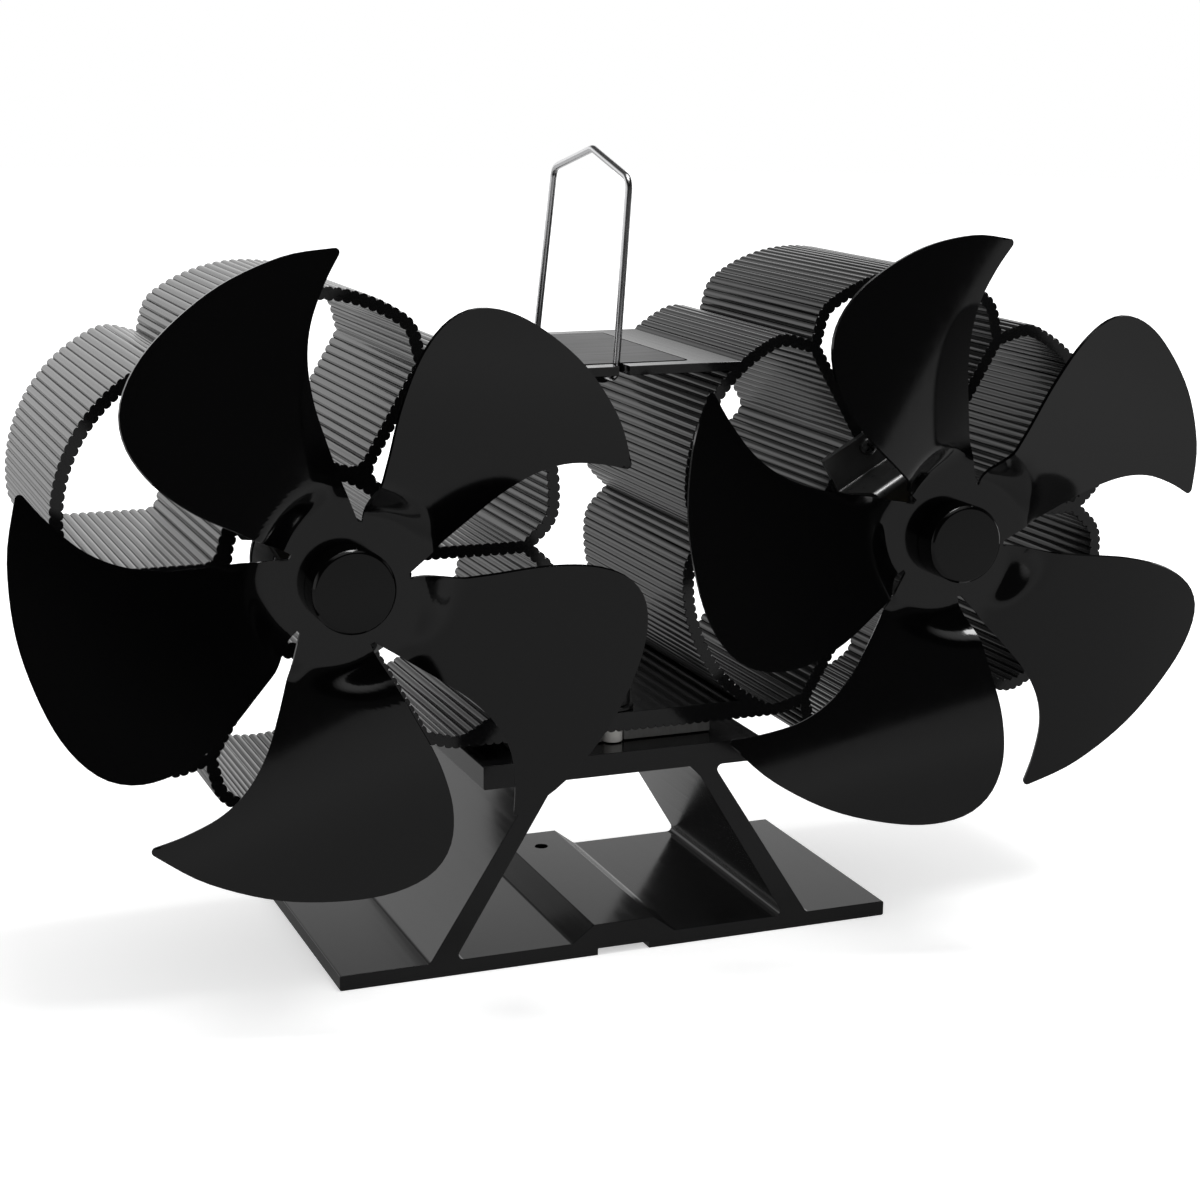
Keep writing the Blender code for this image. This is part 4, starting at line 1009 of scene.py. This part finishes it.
def make_pan_screws(looks):
    """The screws of the brackets, with domed heads and crossed recesses."""
    for node in frame["nodes"]:
        if not node.endswith(("face_screw", "port_screw")):
            continue
        low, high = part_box(node)
        centre = middle(node)
        radius = max(size(node).x, size(node).z) / 2
        shares = PORT_SCREW_SHARES if "port" in node else FACE_SCREW_SHARES
        head, shank = size(node).y * shares[0], radius * shares[1]
        crown, shoulder = [(radius * out, low.y + head * up) for out, up in DOME_SHARES]
        corners = [
            (0, low.y, 0),
            (*crown, 0),
            (*shoulder, radius * DOME_ROUND_SHARE),
            (radius, low.y + head, 0),
            (shank, low.y + head, 0),
            (shank, high.y, 0),
            (0, high.y, 0),
        ]
        screw = turned(node + "_turned", rounded_profile(corners), centre, looks["screw"])
        half = Vector((radius * RECESS_REACH_SHARE, RECESS_DEPTH, RECESS_WIDTH / 2))
        place = Matrix.Translation((centre.x, low.y, centre.z))
        for turn in (45, 135):
            slot = block("recess", -half, half, looks["screw"])
            slot.matrix_world = place @ Matrix.Rotation(math.radians(turn), 4, "Y")
            cut(screw, slot)
        shade(screw)
        keep(screw, "stove_body", "black_steel", node)


def make_clamps(looks):
    """Socket screws, washers and insulating bushes in front of the module and behind it."""
    for place in ("front", "rear"):
        node = place + "_clamp_screw"
        low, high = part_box(node)
        radius = size(node).x / 2
        seat = high.z - CLAMP_HEAD_HEIGHT
        corners = [
            (0, high.z, 0),
            (radius, high.z, HEAD_ROUND),
            (radius, seat, FINE_ROUND),
            (CLAMP_SCREW_RADIUS, seat, 0),
            (CLAMP_SCREW_RADIUS, low.z, END_ROUND),
            (0, low.z, 0),
        ]
        profile, centre = rounded_profile(corners), middle(node)
        screw = turned(node + "_turned", profile, centre, looks["screw"], upright=True)
        top = Vector((centre.x, centre.y, high.z))
        depth = Vector((0, 0, SOCKET_DEPTH))
        socket = rod("socket", SOCKET_RADIUS, top - depth, top + depth, looks["screw"], 6)
        cut(screw, socket)
        shade(screw)
        keep(screw, "stove_body", "black_steel", node)
        for ending, look, slot_name in (
            ("_clamp_washer", "screw", "black_steel"),
            ("_insulating_bush", "ceramic", "ceramic"),
        ):
            node = place + ending
            low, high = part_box(node)
            inner = CLAMP_SCREW_RADIUS + BORE_GAP
            outer = size(node).x / 2
            corners = [
                (inner, high.z, RIM_ROUND),
                (outer, high.z, SOFT_EDGE),
                (outer, low.z, SOFT_EDGE),
                (inner, low.z, RIM_ROUND),
            ]
            profile, centre = rounded_profile(corners), middle(node)
            ring = turned(node + "_turned", profile, centre, looks[look], upright=True)
            keep(ring, "stove_body", slot_name, node)


def make_motor(side, looks):
    """The drawn can with its crimped back, the plastic end cap and its two terminals."""
    node = side + "_motor_can"
    low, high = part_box(node)
    centre = middle(node)
    radius = size(node).x / 2
    front = low.y + MOTOR_BOSS_LENGTH
    crimp = high.y - MOTOR_CRIMP_BACK
    waist = radius - MOTOR_CRIMP_DEPTH
    bore = SHAFT_RADIUS + BORE_GAP
    corners = [
        (bore, low.y, 0),
        (MOTOR_BOSS_RADIUS, low.y, SMALL_ROUND),
        (MOTOR_BOSS_RADIUS, front, 0),
        (radius * MOTOR_STEP_SHARES[0], front, 0),
        (radius * MOTOR_STEP_SHARES[1], front + MOTOR_STEP, 0),
        (radius, front + MOTOR_STEP, MOTOR_SHOULDER_ROUND),
        (radius, crimp + MOTOR_CRIMP_FRONT, 0),
        (waist, crimp, 0),
        (waist, crimp + MOTOR_CRIMP_FLAT, 0),
        (radius, crimp + MOTOR_CRIMP_END, 0),
        (radius, high.y, END_ROUND),
        (0, high.y, 0),
        (0, low.y + MOTOR_BORE_DEPTH, 0),
        (bore, low.y + MOTOR_BORE_DEPTH, 0),
    ]
    can = turned(side + "_can", rounded_profile(corners), centre, looks["motor"])
    keep(can, "stove_body", "motor_steel", node)
    node = side + "_motor_end_cap"
    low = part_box(node)[0]
    radius = size(node).x / 2
    back = low.y + CAP_PLATE_THICKNESS
    groove = back - CAP_GROOVE_DEPTH
    corners = [
        (0, low.y, 0),
        (radius, low.y, FINE_ROUND),
        (radius, back, HEAD_ROUND),
        (radius * CAP_GROOVE_SHARES[0], back, 0),
        (radius * CAP_GROOVE_SHARES[1], groove, 0),
        (CAP_BOSS_RADIUS * CAP_GROOVE_INNER_SHARE, groove, 0),
        (CAP_BOSS_RADIUS, back, 0),
        (CAP_BOSS_RADIUS, back + CAP_BOSS_LENGTH, BOSS_ROUND),
        (0, back + CAP_BOSS_LENGTH, 0),
    ]
    cap = turned(side + "_end_cap", rounded_profile(corners), centre, looks["plastic"])
    keep(cap, "stove_body", "black_plastic", node)
    for place in (-1, 1):
        x = centre.x + place * TERMINAL_DISTANCE
        half = (TERMINAL_WIDTH / 2, TERMINAL_THICKNESS / 2)
        near = (x - half[0], back - TERMINAL_SUNK, centre.z - half[1])
        far = (x + half[0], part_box(node)[1].y, centre.z + half[1])
        brass = looks["brass"]
        terminal = block(f"{side}_terminal_{place + 2}", near, far, brass)
        eye = Vector((x, far[1] - TERMINAL_WIDTH / 2, centre.z))
        across = Vector((0, 0, TERMINAL_THICKNESS))
        cut(terminal, rod("eye", TERMINAL_WIDTH / 4, eye - across, eye + across, brass))
        shade(terminal)
        keep(terminal, "stove_body", "black_plastic")


def make_collar(side, looks):
    """The brass collar that grips the shaft and carries the blades, and the shaft itself."""
    node = side + "_hub_collar"
    low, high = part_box(node)
    centre = middle(side + "_motor_can")
    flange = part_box(side + "_hub_cap")[1].y + 2 * SEAT_GAP + BLADE_THICKNESS
    radius = max(size(node).x, size(node).z) / 2
    bore = SHAFT_RADIUS + BORE_GAP
    spigot = HUB_HOLE_RADIUS - BORE_GAP
    corners = [
        (bore, low.y, 0),
        (spigot, low.y, FINE_ROUND),
        (spigot, flange, 0),
        (radius, flange, FINE_ROUND),
        (radius, flange + FLANGE_THICKNESS, SMALL_ROUND),
        (COLLAR_RADIUS, flange + FLANGE_THICKNESS, 0),
        (COLLAR_RADIUS, high.y, SMALL_ROUND),
        (bore, high.y, 0),
    ]
    collar = turned(side + "_collar", rounded_profile(corners), centre, looks["brass"])
    keep(collar, side + "_fan", "brass", node)
    node = side + "_motor_shaft"
    low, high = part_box(node)
    corners = [
        (0, low.y, 0),
        (SHAFT_RADIUS, low.y, FINE_ROUND),
        (SHAFT_RADIUS, high.y, FINE_ROUND),
        (0, high.y, 0),
    ]
    shaft = turned(side + "_shaft", rounded_profile(corners), centre, looks["polished"])
    keep(shaft, side + "_fan", "polished_steel", node)


def make_label_place(looks):
    """The bare plate on top where a label sits, inside a dark border."""
    top = frame_joint("handle_rock")["pos_m"][2] + HINGE_DROP
    right, front = LABEL_FRONT_RIGHT
    for name, margin, height, look in (
        ("label_border", 0.0, LABEL_HEIGHT / 2, "ink"),
        ("label_plate", LABEL_BORDER, LABEL_HEIGHT, "label"),
    ):
        low_x, high_x = -right + margin, right - margin
        low_y, high_y = front + margin, LABEL_BACK - margin
        radius = LABEL_CORNER - margin
        points = []
        for x, y, first in (
            (high_x - radius, high_y - radius, 0),
            (low_x + radius, high_y - radius, 90),
            (low_x + radius, low_y + radius, 180),
            (high_x - radius, low_y + radius, 270),
        ):
            for step in range(ARC_STEPS + 1):
                a, b = polar(radius, math.radians(first + 90 * step / ARC_STEPS))
                points.append((x + a, y + b))
        cells = bmesh.new()
        low, high = [
            [cells.verts.new((x, y, z)) for x, y in points] for z in (top, top + height)
        ]
        cells.faces.new(low)
        cells.faces.new(high)
        for i in range(len(points)):
            cells.faces.new((low[i - 1], low[i], high[i], high[i - 1]))
        bmesh.ops.recalc_face_normals(cells, faces=cells.faces)
        keep(from_cells(name, cells, looks[look]), "stove_body", "black_anodised")


# Nodes that keep the frame's own shape

def dress_nodes(looks):
    finishes = (
        ("bimetal_strip", "bimetal"),
        ("bimetal_rivet", "steel"),
        ("pad", "pad"),
        ("thermoelectric_module", "ceramic"),
    )
    for name, obj in frame["nodes"].items():
        for word, look in finishes:
            if word in name:
                obj.data.materials.clear()
                obj.data.materials.append(looks[look])
                break


# Camera, lights and surroundings

def make_camera():
    yaw = CAMERA_YAW
    reach = math.cos(CAMERA_PITCH)
    ahead = Vector((-math.sin(yaw) * reach, math.cos(yaw) * reach, -math.sin(CAMERA_PITCH)))
    level = Vector((math.cos(yaw), math.sin(yaw), 0))
    upright = level.cross(ahead)
    right = level * math.cos(CAMERA_ROLL) + upright * math.sin(CAMERA_ROLL)
    up = upright * math.cos(CAMERA_ROLL) - level * math.sin(CAMERA_ROLL)
    data = bpy.data.cameras.new("camera")
    data.lens = CAMERA_LENS
    data.sensor_width = CAMERA_SENSOR
    data.sensor_fit = "HORIZONTAL"
    camera = bpy.data.objects.new("camera", data)
    turn = Matrix((right, up, -ahead)).transposed().to_4x4()
    camera.matrix_world = Matrix.Translation(CAMERA_PLACE) @ turn
    bpy.context.scene.collection.objects.link(camera)
    bpy.context.scene.camera = camera


def make_light():
    """The soft light overhead, which gives the shadow on the floor."""
    data = bpy.data.lights.new("overhead", "AREA")
    data.shape = "RECTANGLE"
    data.size = LIGHT_WIDTH
    data.size_y = LIGHT_DEPTH
    data.energy = LIGHT_POWER
    light = bpy.data.objects.new("overhead", data)
    light.location = LIGHT_PLACE
    light.rotation_euler = (LIGHT_TARGET - LIGHT_PLACE).to_track_quat("-Z", "Y").to_euler()
    bpy.context.scene.collection.objects.link(light)


def make_world():
    """White where the camera looks, soft light on colours, and a dark room for reflections.

    The room is pale at its back, at the top and at the far left.
    """
    world = bpy.data.worlds.new("studio")
    world.use_nodes = True
    background = world.node_tree.nodes["Background"]
    background.inputs["Color"].default_value = (1, 1, 1, 1)
    place = add_node(world, "ShaderNodeTexCoord")
    split = add_node(world, "ShaderNodeSeparateXYZ")
    connect(world, place, "Generated", split, "Vector")
    sides = []
    for axis, limits, levels in (
        ("Y", (WORLD_FRONT_EDGE, WORLD_BACK_EDGE), (WORLD_FRONT_LEVEL, 1.0)),
        ("Z", (WORLD_ROOF_START, WORLD_ROOF_END), (1.0, WORLD_ROOF_LEVEL)),
        ("Z", (WORLD_TOP_START, WORLD_TOP_END), (0.0, WORLD_TOP_LEVEL)),
        ("X", (WORLD_LEFT_START, WORLD_LEFT_END), (0.0, WORLD_LEFT_LEVEL)),
    ):
        sides.append(spread(world, split.outputs[axis], limits, levels, "SMOOTHSTEP"))
    front_to_back, roof, top, left = sides
    room = combine(world, "MULTIPLY", front_to_back, roof)
    room = combine(world, "MAXIMUM", room, top)
    room = combine(world, "MAXIMUM", room, left)
    rays = add_node(world, "ShaderNodeLightPath").outputs
    sharp = combine(world, "MAXIMUM", rays["Is Glossy Ray"], rays["Is Transmission Ray"])
    light = blend(world, sharp, WORLD_SOFT_LEVEL, room)
    seen = blend(world, rays["Is Camera Ray"], light, 1.0)
    feed(world, seen, background.inputs["Strength"])
    bpy.context.scene.world = world


def make_floor():
    """A round white floor that takes the shadow near the object and fades into the background.

    Reflections show it darker, most of all in front of the object.
    """
    cells = bmesh.new()
    bmesh.ops.create_circle(
        cells, cap_ends=True, segments=ROUND_SEGMENTS, radius=FLOOR_RADIUS
    )
    look = material("floor", [FLOOR_COLOUR] * 3, FLOOR_ROUGHNESS, specular=0.0)
    shader = look.node_tree.nodes["Principled BSDF"]
    place = add_node(look, "ShaderNodeTexCoord")
    distance = add_node(look, "ShaderNodeVectorMath", operation="LENGTH")
    split = add_node(look, "ShaderNodeSeparateXYZ")
    connect(look, place, "Object", distance, "Vector")
    connect(look, place, "Object", split, "Vector")
    limits, levels = (FLOOR_NEAR, FLOOR_FAR), (FLOOR_GLOW, 1.0)
    fade = spread(look, distance.outputs["Value"], limits, levels, "SMOOTHSTEP")
    limits, levels = (FLOOR_FRONT, FLOOR_BACK), (FLOOR_FRONT_LEVEL, FLOOR_BACK_LEVEL)
    pale = spread(look, split.outputs["Y"], limits, levels, "SMOOTHSTEP")
    rays = add_node(look, "ShaderNodeLightPath").outputs
    reflected = combine(look, "MULTIPLY", rays["Is Glossy Ray"], pale)
    sharp = combine(look, "MAXIMUM", reflected, rays["Is Transmission Ray"])
    seen = combine(look, "MAXIMUM", sharp, rays["Is Camera Ray"])
    glow = combine(look, "MULTIPLY", seen, fade)
    shown = combine(look, "MULTIPLY", pale, FLOOR_COLOUR)
    colour = blend(look, rays["Is Glossy Ray"], FLOOR_COLOUR, shown)
    feed(look, colour, shader.inputs["Base Color"])
    shader.inputs["Emission Color"].default_value = (1, 1, 1, 1)
    feed(look, glow, shader.inputs["Emission Strength"])
    from_cells("floor", cells, look)


make_camera()
looks = make_materials()
make_cooling_extrusion(looks)
make_handle(looks)
for side in ("left", "right"):
    make_blades(side, looks)
    make_hub_cap(side, looks)
    make_motor(side, looks)
    make_collar(side, looks)
    softened(side + "_motor_bracket", looks["bracket"], "bracket_steel")
make_pan_screws(looks)
make_clamps(looks)
softened("base_extrusion", looks["base"], "base_aluminium")
softened("insulation_gasket", looks["board"], "insulation")
make_label_place(looks)
dress_nodes(looks)
make_world()
make_floor()
make_light()
bpy.context.scene.view_settings.view_transform = "Standard"
